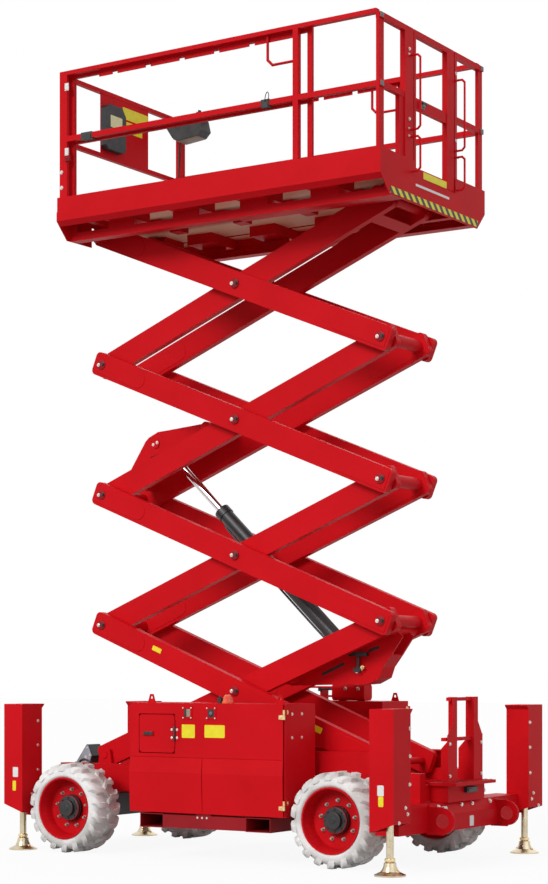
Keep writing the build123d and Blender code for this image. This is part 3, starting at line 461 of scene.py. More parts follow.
# ---------------------------------------------------------------- wheels
WHEEL_X = {"front": -1.230, "rear": 1.060}
WHEEL_Y = 0.730
WHEEL_Z = 0.330
CARCASS = [(0.2245, -0.128), (0.240, -0.144), (0.262, -0.1465), (0.284, -0.136), (0.298, -0.112),
           (0.305, -0.060), (0.307, 0), (0.305, 0.060), (0.298, 0.112), (0.284, 0.136),
           (0.262, 0.1465), (0.240, 0.144), (0.2245, 0.128)]
CARCASS_SIDES = 72
LUGS = 18
LUG_STATIONS = [  # distance from the middle plane, top radius, foot radius
    (-0.012, 0.326, 0.292), (0.004, 0.3285, 0.292), (0.035, 0.3295, 0.292), (0.070, 0.3295, 0.292),
    (0.104, 0.3285, 0.290), (0.126, 0.323, 0.284), (0.141, 0.311, 0.276), (0.1485, 0.294, 0.270)]
LUG_HALF = 0.064  # half of a lug's angle in the middle of the tread
LUG_SPREAD = 0.016  # what it gains at the shoulder
LUG_REACH = 0.15
LUG_TOP = 0.86
LUG_FOOT = 1.12
LUG_SLANT = 1.45  # radians for a metre across the tread
LUG_WAVE = 0.05
LUG_WAVES = 46
HUB_PROFILE = [(0, 0.8425), (0.020, 0.8425), (0.022, 0.8385), (0.055, 0.8380), (0.0605, 0.834),
               (0.0605, 0.812), (0.086, 0.811), (0.0945, 0.804), (0.0945, 0.790), (0.098, 0.788),
               (0.098, 0.760), (0, 0.760)]
HUB_BOLTS = 8
HUB_BOLT_CIRCLE = 0.076
HUB_BOLT_Y = 0.814
NUTS = 9
NUT_CIRCLE = 0.135
WHEEL_DISC_Y = 0.760


def lug_turn(y, start):
    """Angle of a lug's middle line at a distance from the middle plane: a wavy chevron."""
    return start + LUG_SLANT * y + LUG_WAVE * math.sin(y * LUG_WAVES)


def add_tyre(bm, x, side):
    """Round carcass with two staggered rows of wavy lugs."""
    def corner(radius, turn, y):
        return bm.verts.new((x + radius * math.cos(turn), side * (WHEEL_Y + y),
                             WHEEL_Z + radius * math.sin(turn)))
    rings = [[corner(radius, 2 * math.pi * i / CARCASS_SIDES, y) for i in range(CARCASS_SIDES)]
             for radius, y in CARCASS]
    for low, high in zip(rings, rings[1:] + rings[:1]):
        add_walls(bm, low, high)
    for row in (1, -1):
        for lug in range(LUGS):
            start = 2 * math.pi * (lug + (0.5 if row < 0 else 0)) / LUGS
            loops = []
            for y, top, foot in LUG_STATIONS:
                half = LUG_HALF + LUG_SPREAD * max(y, 0) / LUG_REACH
                turn = lug_turn(y, start)
                loops.append([corner(foot, turn - half * LUG_FOOT, row * y),
                              corner(top, turn - half * LUG_TOP, row * y),
                              corner(top, turn + half * LUG_TOP, row * y),
                              corner(foot, turn + half * LUG_FOOT, row * y)])
            bm.faces.new(loops[0])
            bm.faces.new(loops[-1][::-1])
            for near, far in zip(loops, loops[1:]):
                add_walls(bm, near, far)


def add_hub(bm, x, side):
    """Planetary hub cover with its ring of bolts."""
    out = (0, side, 0)
    add_turned(bm, HUB_PROFILE, (x, 0, WHEEL_Z), out)
    for i in range(HUB_BOLTS):
        turn = 2 * math.pi * i / HUB_BOLTS
        at = (x + HUB_BOLT_CIRCLE * math.cos(turn), side * HUB_BOLT_Y,
              WHEEL_Z + HUB_BOLT_CIRCLE * math.sin(turn))
        add_disc(bm, at, out, 0.007, 0.010, 6)


def add_wheel_nuts(bm, x, side):
    """Ring of nuts with washers and stud ends on the wheel's disc."""
    out = Vector((0, side, 0))
    for i in range(NUTS):
        turn = math.radians(90 + 360 / NUTS * i)
        at = Vector((x + NUT_CIRCLE * math.cos(turn), side * WHEEL_DISC_Y,
                     WHEEL_Z + NUT_CIRCLE * math.sin(turn)))
        add_disc(bm, at, out, 0.0135, 0.006, 20)
        add_disc(bm, at + out * 0.010, out, 0.0108, 0.018, 6, 0.0100)
        add_disc(bm, at + out * 0.020, out, 0.006, 0.012, 12)


for end in ENDS:
    for side_name, side in SIDES.items():
        wheel = f"{end}_{side_name}"
        body = f"{wheel}_wheel"
        x = WHEEL_X[end]
        bm = bmesh.new()
        add_tyre(bm, x, side)
        tyre = place(bm, f"{end}_{side_name}_lugged_tyre", TYRE, body, bevel=0.004)
        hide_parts(f"{end}_{side_name}_tyre")
        bm = bmesh.new()
        add_hub(bm, x, side)
        place(bm, f"{wheel}_planetary_hub", BLACK, body, bevel=0.0015)
        bm = bmesh.new()
        add_wheel_nuts(bm, x, side)
        place(bm, f"{wheel}_wheel_nuts", DULL_ZINC, body)

# ---------------------------------------------------------------- scissor stack
FIXED_X = -1.291
BASE_Z = 0.700
ARM = 2.625
ARM_TURN = math.radians(22.06)
RISE = ARM * math.sin(ARM_TURN)
OUTER_FACE = 0.329
INNER_FACE = 0.201
OUTER_DOUBLER = 0.0045  # thickness
INNER_DOUBLER = 0.004
DOUBLER_HALF = 0.066
DOUBLER_END = 0.431
ARM_END = 0.055  # the arm's end past its pin
INNER_ARM_END = 0.045  # the same for the right end of an inner arm
ARC_STEPS = 8
PIN_CAP_Y = 0.342
PIN_CAP = [(0, PIN_CAP_Y), (0.029, PIN_CAP_Y), (0.036, 0.339), (0.037, 0.334), (0, 0.334)]
PIN_BOLT_SHIFT = 0.0195


def along_arm(level, kind, distance, across=0.0):
    """Place (x, z) on an arm, from its left pin along the arm and across it."""
    low = BASE_Z + (level - 1) * RISE
    rise = 1 if kind == "inner" else -1
    start = low if kind == "inner" else low + RISE
    c, s = math.cos(ARM_TURN), rise * math.sin(ARM_TURN)
    return FIXED_X + distance * c - across * s, start + distance * s + across * c


def doubler_outline(level, kind, start, end):
    """Outline of a doubling plate with a round end, in x and z."""
    step = 1 if end > start else -1
    points = [(start, -DOUBLER_HALF), (start, DOUBLER_HALF)]
    for i in range(ARC_STEPS + 1):
        turn = math.radians(90 - 180 / ARC_STEPS * i)
        points.append((end + step * (DOUBLER_HALF * math.cos(turn) - DOUBLER_HALF),
                       DOUBLER_HALF * math.sin(turn)))
    return [along_arm(level, kind, distance, across) for distance, across in points]


for level in LEVELS:
    caps, heads, dark_heads, doublers = (bmesh.new() for _ in range(4))
    pins = [along_arm(level, "outer", ARM / 2)]
    if level > LEVELS[0]:
        pins.append(along_arm(level, "outer", ARM))
    if level < LEVELS[-1]:
        pins.append(along_arm(level, "outer", 0))
    for side in SIDES.values():
        out = (0, side, 0)
        for x, z in pins:
            add_turned(caps, PIN_CAP, (x, 0, z), out, 28)
            for head, shift in ((heads, -PIN_BOLT_SHIFT), (dark_heads, PIN_BOLT_SHIFT)):
                add_bolt(head, (x + shift, side * PIN_CAP_Y, z), out, 0.0095, 0.007)
        for start, end in ((-ARM_END, DOUBLER_END), (ARM + ARM_END, ARM - DOUBLER_END)):
            add_plate(doublers, doubler_outline(level, "outer", start, end),
                      side * OUTER_FACE, side * (OUTER_FACE + OUTER_DOUBLER))
    place(caps, f"outer_pin_caps_{level}", SHADED_RED, f"outer_{level}", bevel=0.0008, segments=1)
    place(dark_heads, f"outer_pin_dark_bolts_{level}", BLACK, f"outer_{level}")
    place(heads, f"outer_pin_bolts_{level}", ZINC, f"outer_{level}")
    place(doublers, f"outer_doublers_{level}", RED, f"outer_{level}", bevel=0.0015)
    doublers = bmesh.new()
    for side in SIDES.values():
        for start, end in ((-ARM_END, DOUBLER_END), (ARM + INNER_ARM_END, ARM - DOUBLER_END)):
            if (level == LEVELS[0] and start < 0) or (level == LEVELS[-1] and start > 0):
                continue
            add_plate(doublers, doubler_outline(level, "inner", start, end),
                      side * INNER_FACE, side * (INNER_FACE - INNER_DOUBLER))
    place(doublers, f"inner_doublers_{level}", RED, f"inner_{level}", bevel=0.0015)

# plates on the lowest outer arm
PLATE_CORNERS = ((-1, -0.8), (-0.9, -1), (0.9, -1), (1, -0.8),
                 (1, 0.8), (0.9, 1), (-0.9, 1), (-1, 0.8))
ARM_PLATE_THICK = 0.0035

for name, at, length, height in (("outer_arm_plate_right", (2.05, 0.018), 0.105, 0.044),
                                 ("outer_arm_plate_left", (0.55, 0.02), 0.085, 0.036)):
    x, z = along_arm(1, "outer", *at)
    c, s = math.cos(-ARM_TURN), math.sin(-ARM_TURN)
    points = [(x + a * length / 2 * c - b * height / 2 * s,
               z + a * length / 2 * s + b * height / 2 * c) for a, b in PLATE_CORNERS]
    bm = bmesh.new()
    add_plate(bm, points, -OUTER_FACE, -OUTER_FACE - ARM_PLATE_THICK)
    place(bm, name, YELLOW, "outer_1", bevel=0.0006, segments=1)

# ---------------------------------------------------------------- lift cylinder and its plates
FOOT_PIN = (0.832, 1.342)
HEAD_PIN = (-0.960, 3.063)
CYLINDER_ALONG = (-0.7212, 0.6927)
PIN_FACE = 0.0952
SLOT_HALF = 0.0108
SLOT_END = 0.011
SLOT_STEPS = 8
# depth of the black inserts in the plates' slots, which are painted shade for the slot recesses
SLOT_BACK = 0.0795
SLOT_FRONT = 0.0815
SLOTS = {
    "foot_slot_shade_inserts": ("inner_1", ((0.515, 1.311, 0.706, 1.393), (0.900, 1.480, 0.995, 1.509))),
    "head_slot_shade_inserts": ("inner_3", ((-0.830, 3.016, -0.652, 3.073), (-1.010, 2.953, -0.920, 2.978))),
}


def slot_outline(x0, z0, x1, z1):
    """Outline of a round-ended slot between two points, in x and z."""
    turn = math.atan2(z1 - z0, x1 - x0)
    reach = math.hypot(x1 - x0, z1 - z0) / 2 - SLOT_END
    points = []
    for end, first in ((reach, -90), (-reach, 90)):
        for step in range(SLOT_STEPS + 1):
            a = math.radians(first + 180 * step / SLOT_STEPS)
            along, across = end + SLOT_HALF * math.cos(a), SLOT_HALF * math.sin(a)
            points.append(((x0 + x1) / 2 + along * math.cos(turn) - across * math.sin(turn),
                           (z0 + z1) / 2 + along * math.sin(turn) + across * math.cos(turn)))
    return points


def along_cylinder(distance, off):
    """Place on the cylinder's lower side, from its foot pin along it and away from it."""
    a, b = CYLINDER_ALONG
    return FOOT_PIN[0] + a * distance - b * off, -0.012, FOOT_PIN[1] + b * distance + a * off


solid("foot_bracket_valve", BLACK, "inner_1",
      boxes=[((0.760, 0.908), (-0.128, -0.088), (1.443, 1.473)),
             ((0.795, 0.852), (-0.118, -0.088), (1.330, 1.362))],
      discs=[((0.83, -0.105, 1.40), (0, 0, 1), 0.010, 0.09, 12)], bevel=0.003)
solid("foot_bracket_fitting", BRASS, "inner_1",
      discs=[((0.873, -0.104, 1.364), (0, -1, 0), 0.015, 0.032, 6),
             ((0.873, -0.126, 1.364), (0, -1, 0), 0.009, 0.016, 16)])
for side_name, side in SIDES.items():
    for pin, body, (x, z) in (("foot", "inner_1", FOOT_PIN), ("rod", "inner_3", HEAD_PIN)):
        bolts(f"{pin}_pin_bolts_{side_name}", body,
              [(x + d, side * PIN_FACE, z + d * 0.4) for d in (-0.018, 0.018)],
              (0, side, 0), 0.008, 0.006)
for name, (body, slots) in SLOTS.items():  # black inserts as painted shade, standing in for the shade inside the slots
    bm = bmesh.new()
    for slot in slots:
        for side in SIDES.values():
            add_plate(bm, slot_outline(*slot), side * SLOT_BACK, side * SLOT_FRONT)
    place(bm, name, BLACK, body, bevel=0.0004, segments=1)
PIPE = ((0.330, 0.054), (0.345, 0.066), (0.80, 0.066), (1.25, 0.066), (1.60, 0.066), (1.625, 0.054))
tube("lift_cylinder_pipe", [along_cylinder(*at) for at in PIPE], 0.008, BLACK, "lift_barrel")

# ---------------------------------------------------------------- cabinets
DOOR_FACE = 0.871
CABINET_END = 0.698
HINGE_Y = 0.877
DOOR_LEAVES = ((0.384, 0.417), (1.005, 1.039))
CABINET_LEAVES = ((0.4175, 0.450), (1.0395, 1.073))
LEAF_BOLT = (0.007, 0.005)  # radius and height
SOCKET_Y = (-0.8765, -0.868)
OUT = (0, -1, 0)  # the way the near side looks
UP = (0, 0, 1)


def add_knuckle(bm, side, low, high):
    """Round part of a hinge leaf."""
    at = (CABINET_END, side * HINGE_Y, (low + high) / 2)
    add_disc(bm, at, UP, 0.0085, high - low - 0.001, 20)


for side_name, side in SIDES.items():
    bolts(f"{side_name}_cabinet_end_bolts", "chassis",
          [(CABINET_END, side * y, z) for y in (0.775, 0.649) for z in (1.043, 0.881)],
          (1, 0, 0), 0.0075, 0.004)
    bm = bmesh.new()
    for low, high in DOOR_LEAVES:
        add_knuckle(bm, side, low, high)
        add_plate(bm, [(0.655, low + 0.003), (0.692, low + 0.001),
                       (0.692, high - 0.001), (0.655, high - 0.003)],
                  side * (DOOR_FACE + 0.004), side * (DOOR_FACE + 0.007))
        add_bolt(bm, (0.671, side * (DOOR_FACE + 0.007), (low + high) / 2), (0, side, 0),
                 *LEAF_BOLT)
    place(bm, f"{side_name}_door_hinge_leaves", BRASS, f"{side_name}_door",
          bevel=0.0006, segments=1)
    bm = bmesh.new()
    for low, high in CABINET_LEAVES:
        add_knuckle(bm, side, low, high)
        add_plate(bm, [(side * 0.869, low + 0.001), (side * 0.826, low + 0.003),
                       (side * 0.826, high - 0.003), (side * 0.869, high - 0.001)],
                  CABINET_END, CABINET_END + 0.004, "yz")
        add_bolt(bm, (CABINET_END + 0.004, side * 0.842, (low + high) / 2), (1, 0, 0),
                 *LEAF_BOLT)
    place(bm, f"{side_name}_cabinet_hinge_leaves", BRASS, "chassis", bevel=0.0006, segments=1)

label("near_door_plate_1", YELLOW, "near_door", "-y", -DOOR_FACE, (-0.160, -0.048), (0.867, 0.962))
label("near_door_plate_2", YELLOW, "near_door", "-y", -DOOR_FACE, (0.035, 0.206), (0.872, 0.961))
solid("near_door_socket_bodies", BLACK_PLASTIC, "near_door",
      boxes=[((-0.136, -0.118), SOCKET_Y, (1.016, 1.072)),
             ((0.068, 0.118), SOCKET_Y, (1.016, 1.072))],
      discs=[((0.093, -0.8775, 1.044), OUT, 0.020, 0.003, 24)], bevel=0.001)
solid("near_door_socket_face", TAN, "near_door",
      boxes=[((-0.117, -0.086), SOCKET_Y, (1.017, 1.071))],
      discs=[((-0.101, -0.877, 1.057), OUT, 0.006, 0.004, 16)], bevel=0.001)
solid("near_door_socket_centre", GREY_CAP, "near_door",
      discs=[((0.093, -0.8795, 1.044), OUT, 0.013, 0.004, 24, 0.011),
             ((0.093, -0.8815, 1.044), OUT, 0.004, 0.004, 12)])
bolts("near_door_socket_bolts", "near_door",
      [(x + d, -0.877, z)
       for x in (-0.111, 0.093) for d in (-0.034, 0.034) for z in (1.009, 1.079)],
      OUT, 0.0035, 0.002)
solid("inspection_latch", BLACK_PLASTIC, "near_inspection_door",
      boxes=[((-0.490, -0.407), (-0.886, -0.879), (0.884, 0.908)),
             ((-0.478, -0.440), (-0.890, -0.885), (0.890, 0.902))], bevel=0.0015)
bm = bmesh.new()
add_turned(bm, [(0, 0.056), (0.006, 0.056), (0.0075, 0.053), (0.0075, -0.053), (0.006, -0.056),
                (0, -0.056)], (-0.222, -HINGE_Y, 0.8955), UP, 16)
place(bm, "inspection_hinge_pin", BLACK, "near_inspection_door")
for name, body, x, bolt_x in (
        ("inspection_hinge_leaf", "near_inspection_door", (-0.256, -0.232), -0.244),
        ("inspection_hinge_base", "near_door", (-0.211, -0.187), -0.198)):
    label(name, RED, body, "-y", -DOOR_FACE, x, (0.842, 0.949), 0.003, 0.003)
    bolts(f"{name}_bolts", body, [(bolt_x, -DOOR_FACE - 0.003, z) for z in (0.924, 0.867)],
          OUT, 0.006, 0.004)
bolts("latch_box_bolts", "chassis", [(x, -0.858, 0.309) for x in (-0.03, 0.01, 0.05)],
      OUT, 0.008, 0.006)
solid("cabinet_end_strip", WHITE, "chassis",
      boxes=[((-0.622, -0.6165), (-0.80, -0.52), (0.450, 0.550)),
             ((-0.624, -0.6165), (-0.79, -0.77), (0.47, 0.53))], bevel=0.0015)
tube("cabinet_corrugated_hose",
     [(-0.66, -0.72, 0.62), (-0.67, -0.74, 0.72), (-0.655, -0.73, 0.84), (-0.63, -0.70, 0.92),
      (-0.60, -0.68, 0.93)], 0.016, HOSE, "chassis")
solid("beacon_bracket", BLACK_PLASTIC, "chassis",
      boxes=[((0.078, 0.106), (-0.775, -0.745), (1.112, 1.150))],
      discs=[((0.092, -0.76, 1.156), UP, 0.010, 0.014, 16)], bevel=0.002)

# ---------------------------------------------------------------- tank on the far cabinet
solid("tank_strap_and_cap", BLACK, "chassis",
      boxes=[((0.071, 0.189), (0.586, 0.600), (1.192, 1.208))],
      discs=[((0.080, 0.593, 1.200), UP, 0.012, 0.030, 16),
             ((0.30, 0.65, 1.246), UP, 0.026, 0.022, 24),
             ((0.30, 0.65, 1.258), UP, 0.018, 0.016, 12)], bevel=0.0015)
label("tank_plate", WHITE, "chassis", "-y", 0.5995, (-0.05, 0.06), (1.140, 1.154), 0.003, 0.003)
bolts("tank_bolt", "chassis", [(0.309, 0.590, 1.204), (0.420, 0.590, 1.204)], OUT)

# ---------------------------------------------------------------- outriggers
HOUSING_FACE = {"rear": 1.688, "front": -1.610}
HOUSING_BOLTS = {  # |y| and z
    "rear": [(0.900, 0.964), (0.900, 0.782), (0.903, 0.597), (0.958, 0.447), (0.930, 0.405),
             (1.044, 0.353)],
    "front": [(0.700, 0.964), (0.700, 0.782), (0.700, 0.597), (0.770, 0.420)],
}
LEG_AT = {"front": (-1.6975, 0.765), "rear": (1.598, 1.000)}
COLLAR = [(0, 0.094), (0.031, 0.094), (0.036, 0.099), (0.036, 0.112), (0.031, 0.117), (0, 0.117)]
REAR_SIDE = -1.115  # near faces of the outrigger housings
FRONT_SIDE = -0.880

for end, face_x in HOUSING_FACE.items():
    for side_name, side in SIDES.items():
        bolts(f"{end}_{side_name}_housing_bolts", "chassis",
              [(face_x, side * y, z) for y, z in HOUSING_BOLTS[end]], (1, 0, 0), 0.0085, 0.007)
for name, material, at, x, z in (
        ("rear_housing_white_plate", WHITE, REAR_SIDE, (1.569, 1.617), (0.528, 0.598)),
        ("rear_housing_yellow_plate", YELLOW, REAR_SIDE, (1.576, 1.614), (0.458, 0.526)),
        ("front_housing_white_plate", WHITE, FRONT_SIDE, (-1.700, -1.650), (0.548, 0.622)),
        ("front_housing_yellow_plate", YELLOW, FRONT_SIDE, (-1.702, -1.670), (0.446, 0.520))):
    label(name, material, "chassis", "-y", at, x, z)
for end, (x, y) in LEG_AT.items():
    for side_name, side in SIDES.items():
        bm = bmesh.new()
        add_turned(bm, COLLAR, (x, side * y, 0), UP, 32)
        for way in (1, -1):
            add_bolt(bm, (x + way * 0.058, side * y, 0.030), (way * 0.25, 0, 1), 0.009, 0.007)
        leg = f"{end}_{side_name}_leg"
        place(bm, f"{leg}_collar", BRASS, leg, bevel=0.001)

# rear beam: bolts and two stacked plates on its slanted face
BEAM_EDGE = Vector((1.6347, 0, 0.3742))  # lower edge of the plates on the slanted face
BEAM_PLATE_HEIGHT = 0.045
BEAM_PLATE_THICK = 0.0015
BEAM_PLATE_SUNK = 0.0005

slope = Vector((78, 0, 34)).normalized()
up_slope = Vector((-34, 0, 78)).normalized()
bolts("rear_beam_bolts", "chassis",
      [(1.6165, y, 0.416) for y in (-0.368, -0.036, 0.124, 0.40)], slope)
bm = bmesh.new()
for y0, y1, lift in ((-0.325, -0.250, 0.0005), (-0.315, -0.260, 0.002)):
    low = BEAM_EDGE + slope * lift
    high = low + up_slope * BEAM_PLATE_HEIGHT
    corners = [edge + Vector((0, y, 0))
               for edge, y in ((low, y0), (low, y1), (high, y1), (high, y0))]
    front = [bm.verts.new(c + slope * BEAM_PLATE_THICK) for c in corners]
    back = [bm.verts.new(c - slope * BEAM_PLATE_SUNK) for c in corners]
    bm.faces.new(front)
    bm.faces.new(back[::-1])
    for i in range(4):
        j = (i + 1) % 4
        bm.faces.new((front[i], back[i], back[j], front[j]))
place(bm, "rear_beam_plate", WHITE, "chassis", smooth=False)
label("rear_beam_sticker", WHITE, "chassis", "+x", 1.640, (0.046, 0.105), (0.262, 0.334))

# ---------------------------------------------------------------- ladder and steps
STUD_ROWS = 5
STUDS = 14

solid("step_black_box", BLACK, "chassis",
      boxes=[((1.638, 1.668), (-0.041, 0.113), (0.499, 0.537)),
             ((1.664, 1.674), (-0.030, 0.030), (0.508, 0.528))], bevel=0.003)
bm = bmesh.new()
for i in range(STUD_ROWS):
    for j in range(STUDS):
        add_disc(bm, (1.53 + 0.04 * i, -0.273 + 0.042 * j, 0.578), UP, 0.012, 0.005, 8, 0.009)
place(bm, "step_grip_studs", SHADED_RED, "chassis", smooth=False)
bolts("ladder_bolts", "chassis",
      [(1.632, side * 0.235, z) for side in (-1, 1) for z in (0.62, 0.84)], (1, 0, 0), 0.008, 0.006)

# ---------------------------------------------------------------- front valve block
BLOCK_FACE = -0.254

bm = bmesh.new()
add_plate(bm, [(-1.606, 0.570), (-1.505, 0.570), (-1.448, 0.690), (-1.482, 0.768), (-1.496, 0.768),
               (-1.594, 0.636), (-1.606, 0.636)], -0.2495, BLOCK_FACE)
place(bm, "valve_block_lid", GREY, "chassis", bevel=0.0015)
bolts("valve_block_bolts", "chassis",
      [(-1.592, BLOCK_FACE, 0.585), (-1.513, BLOCK_FACE, 0.587), (-1.490, BLOCK_FACE, 0.748),
       (-1.463, BLOCK_FACE, 0.692)], OUT, 0.007, 0.005)
label("valve_block_white_tag", WHITE, "chassis", "-y", BLOCK_FACE, (-1.515, -1.495), (0.640, 0.690),
      0.003)
solid("valve_block_fitting", BRASS, "chassis",
      discs=[((-1.535, -0.262, 0.610), OUT, 0.011, 0.018, 6),
             ((-1.535, -0.276, 0.610), OUT, 0.007, 0.014, 16)])
tube("valve_block_hose_1",
     [(-1.535, -0.285, 0.610), (-1.535, -0.33, 0.60), (-1.47, -0.35, 0.67), (-1.38, -0.38, 0.66),
      (-1.30, -0.45, 0.652)], 0.009, HOSE, "chassis")
tube("steering_link",
     [(-1.13, -0.66, 0.345), (-1.13, -0.60, 0.40), (-1.15, -0.52, 0.43), (-1.18, -0.44, 0.43)],
     0.010, HOSE, "chassis")

# ---------------------------------------------------------------- platform
END_FACE = 1.392
GATE_FACE = 1.384
POST_FACE = 1.386
PANEL_FACE = -1.323
DOCUMENT_FACE = -1.267

for name, material, body, at, y, z, corner in (
        ("hazard_band", HAZARD, "platform", END_FACE, (-0.632, 0.653), (4.562, 4.609), 0.001),
        ("gate_toe_plate", YELLOW, "entry_gate", GATE_FACE, (-0.156, 0.185), (4.75, 4.798), 0.003),
        ("sill_strip", WHITE, "platform", END_FACE, (-0.28, 0.21), (4.676, 4.693), 0.003),
        ("panel_plate_1", YELLOW, "extension", PANEL_FACE, (-0.025, 0.300), (5.600, 5.690), 0.005),
        ("panel_plate_2", YELLOW, "extension", PANEL_FACE, (0.020, 0.225), (5.500, 5.585), 0.005),
        ("document_plate", PALE_YELLOW, "extension", DOCUMENT_FACE, (-0.250, -0.105),
         (5.478, 5.570), 0.005)):
    label(name, material, body, "+x", at, y, z, corner)
clips = []
for x0, x1 in ((-1.154, -1.053), (0.430, 0.500)):
    clips.append(((x0, x1), (-0.7595, -0.711), (5.251, 5.302)))
    clips.append(((x0 + 0.008, x1 - 0.008), (-0.765, -0.757), (5.240, 5.286)))
solid("mid_rail_clips", BLACK_PLASTIC, "platform", boxes=clips, bevel=0.003)
tube("mid_rail_wire_loop",
     [(0.465, -0.763, 5.28), (0.475, -0.77, 5.32), (0.49, -0.765, 5.355), (0.505, -0.762, 5.32),
      (0.49, -0.762, 5.285)], 0.003, HOSE, "platform")
pads = []
for z0, z1 in ((5.634, 5.689), (5.152, 5.209)):
    pads.append(((-1.305, -1.271), (-0.7585, -0.750), (z0, z1)))
    pads.append(((-1.299, -1.277), (-0.7605, -0.755), (z0 + 0.008, z1 - 0.008)))
solid("front_post_pads", WHITE, "platform", boxes=pads, bevel=0.0015)
solid("front_post_latch", SHADED_RED, "platform",
      boxes=[((-1.300, -1.255), (-0.768, -0.752), (5.109, 5.152))],
      discs=[((-1.278, -0.765, 5.130), OUT, 0.010, 0.012, 16)], bevel=0.003)
bolts("front_post_bolts", "platform", [(-1.336, -0.755, z) for z in (5.034, 4.92)],
      OUT, 0.010, 0.007)
caps = []
for side in SIDES.values():
    for z0, z1 in ((5.716, 5.754), (5.257, 5.296)):
        y0, y1 = sorted((side * 0.7525, side * 0.712))
        caps.append(((1.384, 1.3895), (y0, y1), (z0 + 0.002, z1 - 0.002)))
        caps.append(((1.388, 1.3915), (y0 + 0.006, y1 - 0.006), (z0 + 0.009, z1 - 0.009)))
solid("rail_end_caps", GREY_CAP, "platform", boxes=caps, bevel=0.0015)
seals = []
for y in (-0.295, 0.3005):
    seals.append(((1.349, 1.383), (y - 0.0035, y + 0.0035), (5.30, 5.57)))
    seals.append(((1.351, 1.381), (y - 0.0030, y + 0.0030), (4.86, 5.06)))
solid("gate_seals", BLACK, "platform", boxes=seals, bevel=0.0008)
solid("gate_latch", GREY_CAP, "entry_gate",
      boxes=[((1.381, 1.400), (-0.213, -0.161), (5.225, 5.278)),
             ((1.396, 1.412), (-0.202, -0.172), (5.236, 5.254))], bevel=0.003)
solid("gate_latch_handle", BLACK_PLASTIC, "entry_gate",
      boxes=[((1.398, 1.4125), (-0.210, -0.150), (5.256, 5.270))],
      discs=[((1.404, -0.152, 5.263), (0, 1, 0), 0.009, 0.018, 16)], bevel=0.002)
bolts("gate_post_bolts", "platform",
      [(POST_FACE, y, z) for y in (-0.36, 0.323) for z in (5.12, 5.60)], (1, 0, 0), 0.008, 0.006)
bolts("handle_foot_bolts", "platform",
      [(POST_FACE, y, z) for y in (-0.366, 0.355) for z in (5.003, 5.562, 5.053)],
      (1, 0, 0), 0.006, 0.005)

# control box: tan tray underneath, console on top, cable down the far front post
KEYS = 4
KEY_STEP = 0.035
LEAN = (0.3, 0, 1)

bm = bmesh.new()
add_plate(bm, [(-1.250, 5.554), (-1.200, 5.526), (-1.012, 5.542), (-1.014, 5.556), (-1.198, 5.541),
               (-1.246, 5.567)], 0.534, 0.652)
place(bm, "console_tray", TAN, "extension", bevel=0.002)
keys = [((-1.26 + KEY_STEP * i, 0.575, 5.730), UP, 0.011, 0.018, 16) for i in range(KEYS)]
solid("console_controls", BLACK_PLASTIC, "extension",
      discs=[((-1.050, 0.610, 5.738), LEAN, 0.030, 0.030, 24, 0.024),
             ((-1.045, 0.610, 5.756), LEAN, 0.011, 0.026, 16, 0.014), *keys], bevel=0.0015)
tube("console_cable",
     [(-1.25, 0.64, 5.56), (-1.275, 0.655, 5.48), (-1.285, 0.665, 5.30), (-1.29, 0.668, 5.05),
      (-1.30, 0.668, 4.86), (-1.32, 0.66, 4.79)], 0.007, HOSE, "extension")

# ---------------------------------------------------------------- stage and light
PALE = 0.93
BOUNCE = 0.40
WHITE_SHARE = 0.92
AMBIENT = 0.47
FLOOR_HALF = 60
SEEN_RAYS = ("Is Camera Ray", "Is Glossy Ray")
SUNS = (  # name, direction, strength, angle
    ("key", (0.12, 1.0, -0.62), 1.74, 25),
    ("fill", (-0.9, 0.3, -0.5), 0.42, 60),
    ("back", (0.3, -1.0, -0.6), 0.25, 60),
)


def ray_is(tree, *kinds):
    """1 for a ray of any of the kinds, otherwise 0."""
    path = tree.nodes.new("ShaderNodeLightPath")
    found = path.outputs[kinds[0]]
    for kind in kinds[1:]:
        found = math_node(tree, "MAXIMUM", found, path.outputs[kind])
    return found


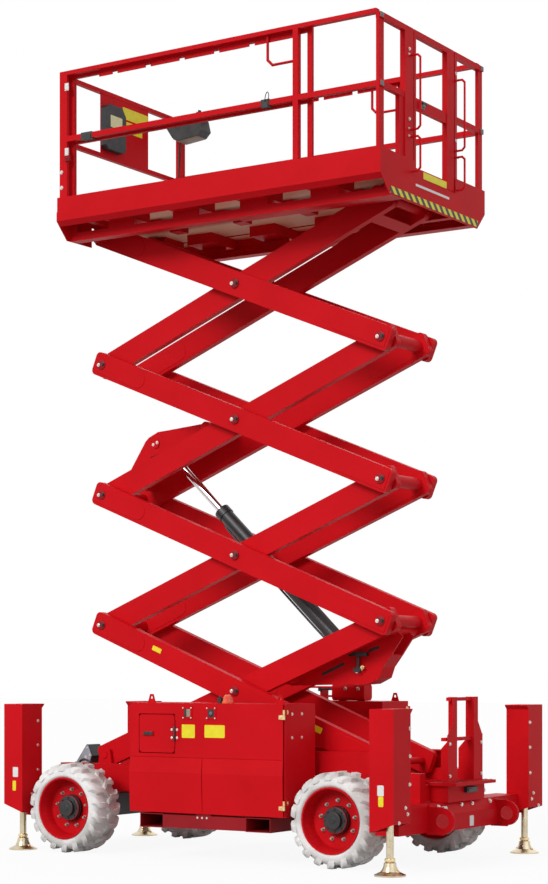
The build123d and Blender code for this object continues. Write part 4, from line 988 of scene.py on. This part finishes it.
def mix_shaders(tree, factor, first, second, output):
    """Mix of two shaders, sent to the output's surface."""
    mix = tree.nodes.new("ShaderNodeMixShader")
    tree.links.new(factor, mix.inputs["Fac"])
    tree.links.new(first.outputs[0], mix.inputs[1])
    tree.links.new(second.outputs[0], mix.inputs[2])
    tree.links.new(mix.outputs[0], output.inputs["Surface"])


def stage_material(name):
    """Pale floor: white to the camera and to gloss, keeping the object's soft shadow."""
    material = bpy.data.materials.new(name)
    material.use_nodes = True
    tree = material.node_tree
    tree.nodes.clear()
    output = tree.nodes.new("ShaderNodeOutputMaterial")
    seen = ray_is(tree, *SEEN_RAYS)
    shadow = tree.nodes.new("ShaderNodeBsdfDiffuse")
    tree.links.new(map_range(tree, seen, BOUNCE, PALE), shadow.inputs["Color"])
    white = tree.nodes.new("ShaderNodeEmission")
    white.inputs["Strength"].default_value = 1
    mix_shaders(tree, math_node(tree, "MULTIPLY", seen, WHITE_SHARE), shadow, white, output)
    return material


def white_background(tree, strength):
    """Even white background."""
    background = tree.nodes.new("ShaderNodeBackground")
    background.inputs["Color"].default_value = (1, 1, 1, 1)
    background.inputs["Strength"].default_value = strength
    return background


def studio_world():
    """Soft light from all round, shown as plain white."""
    world = bpy.data.worlds.new("studio")
    world.use_nodes = True
    tree = world.node_tree
    tree.nodes.clear()
    output = tree.nodes.new("ShaderNodeOutputWorld")
    clear = ray_is(tree, *SEEN_RAYS, "Is Transmission Ray")
    mix_shaders(tree, clear, white_background(tree, AMBIENT), white_background(tree, 1), output)
    return world


def sun(name, direction, strength, angle):
    """Soft sun shining along a direction."""
    light = bpy.data.lights.new(name, "SUN")
    light.energy = strength
    light.angle = math.radians(angle)
    lamp = bpy.data.objects.new(name, light)
    lamp.rotation_euler = Vector(direction).to_track_quat("-Z", "Y").to_euler()
    bpy.context.scene.collection.objects.link(lamp)


bm = bmesh.new()
bmesh.ops.create_grid(bm, x_segments=1, y_segments=1, size=FLOOR_HALF)
floor_mesh = bpy.data.meshes.new("floor")
bm.to_mesh(floor_mesh)
bm.free()
floor = bpy.data.objects.new("floor", floor_mesh)
floor_mesh.materials.append(stage_material("floor"))
bpy.context.scene.collection.objects.link(floor)
bpy.context.scene.world = studio_world()
for values in SUNS:
    sun(*values)

bpy.context.scene.view_settings.view_transform = "Standard"
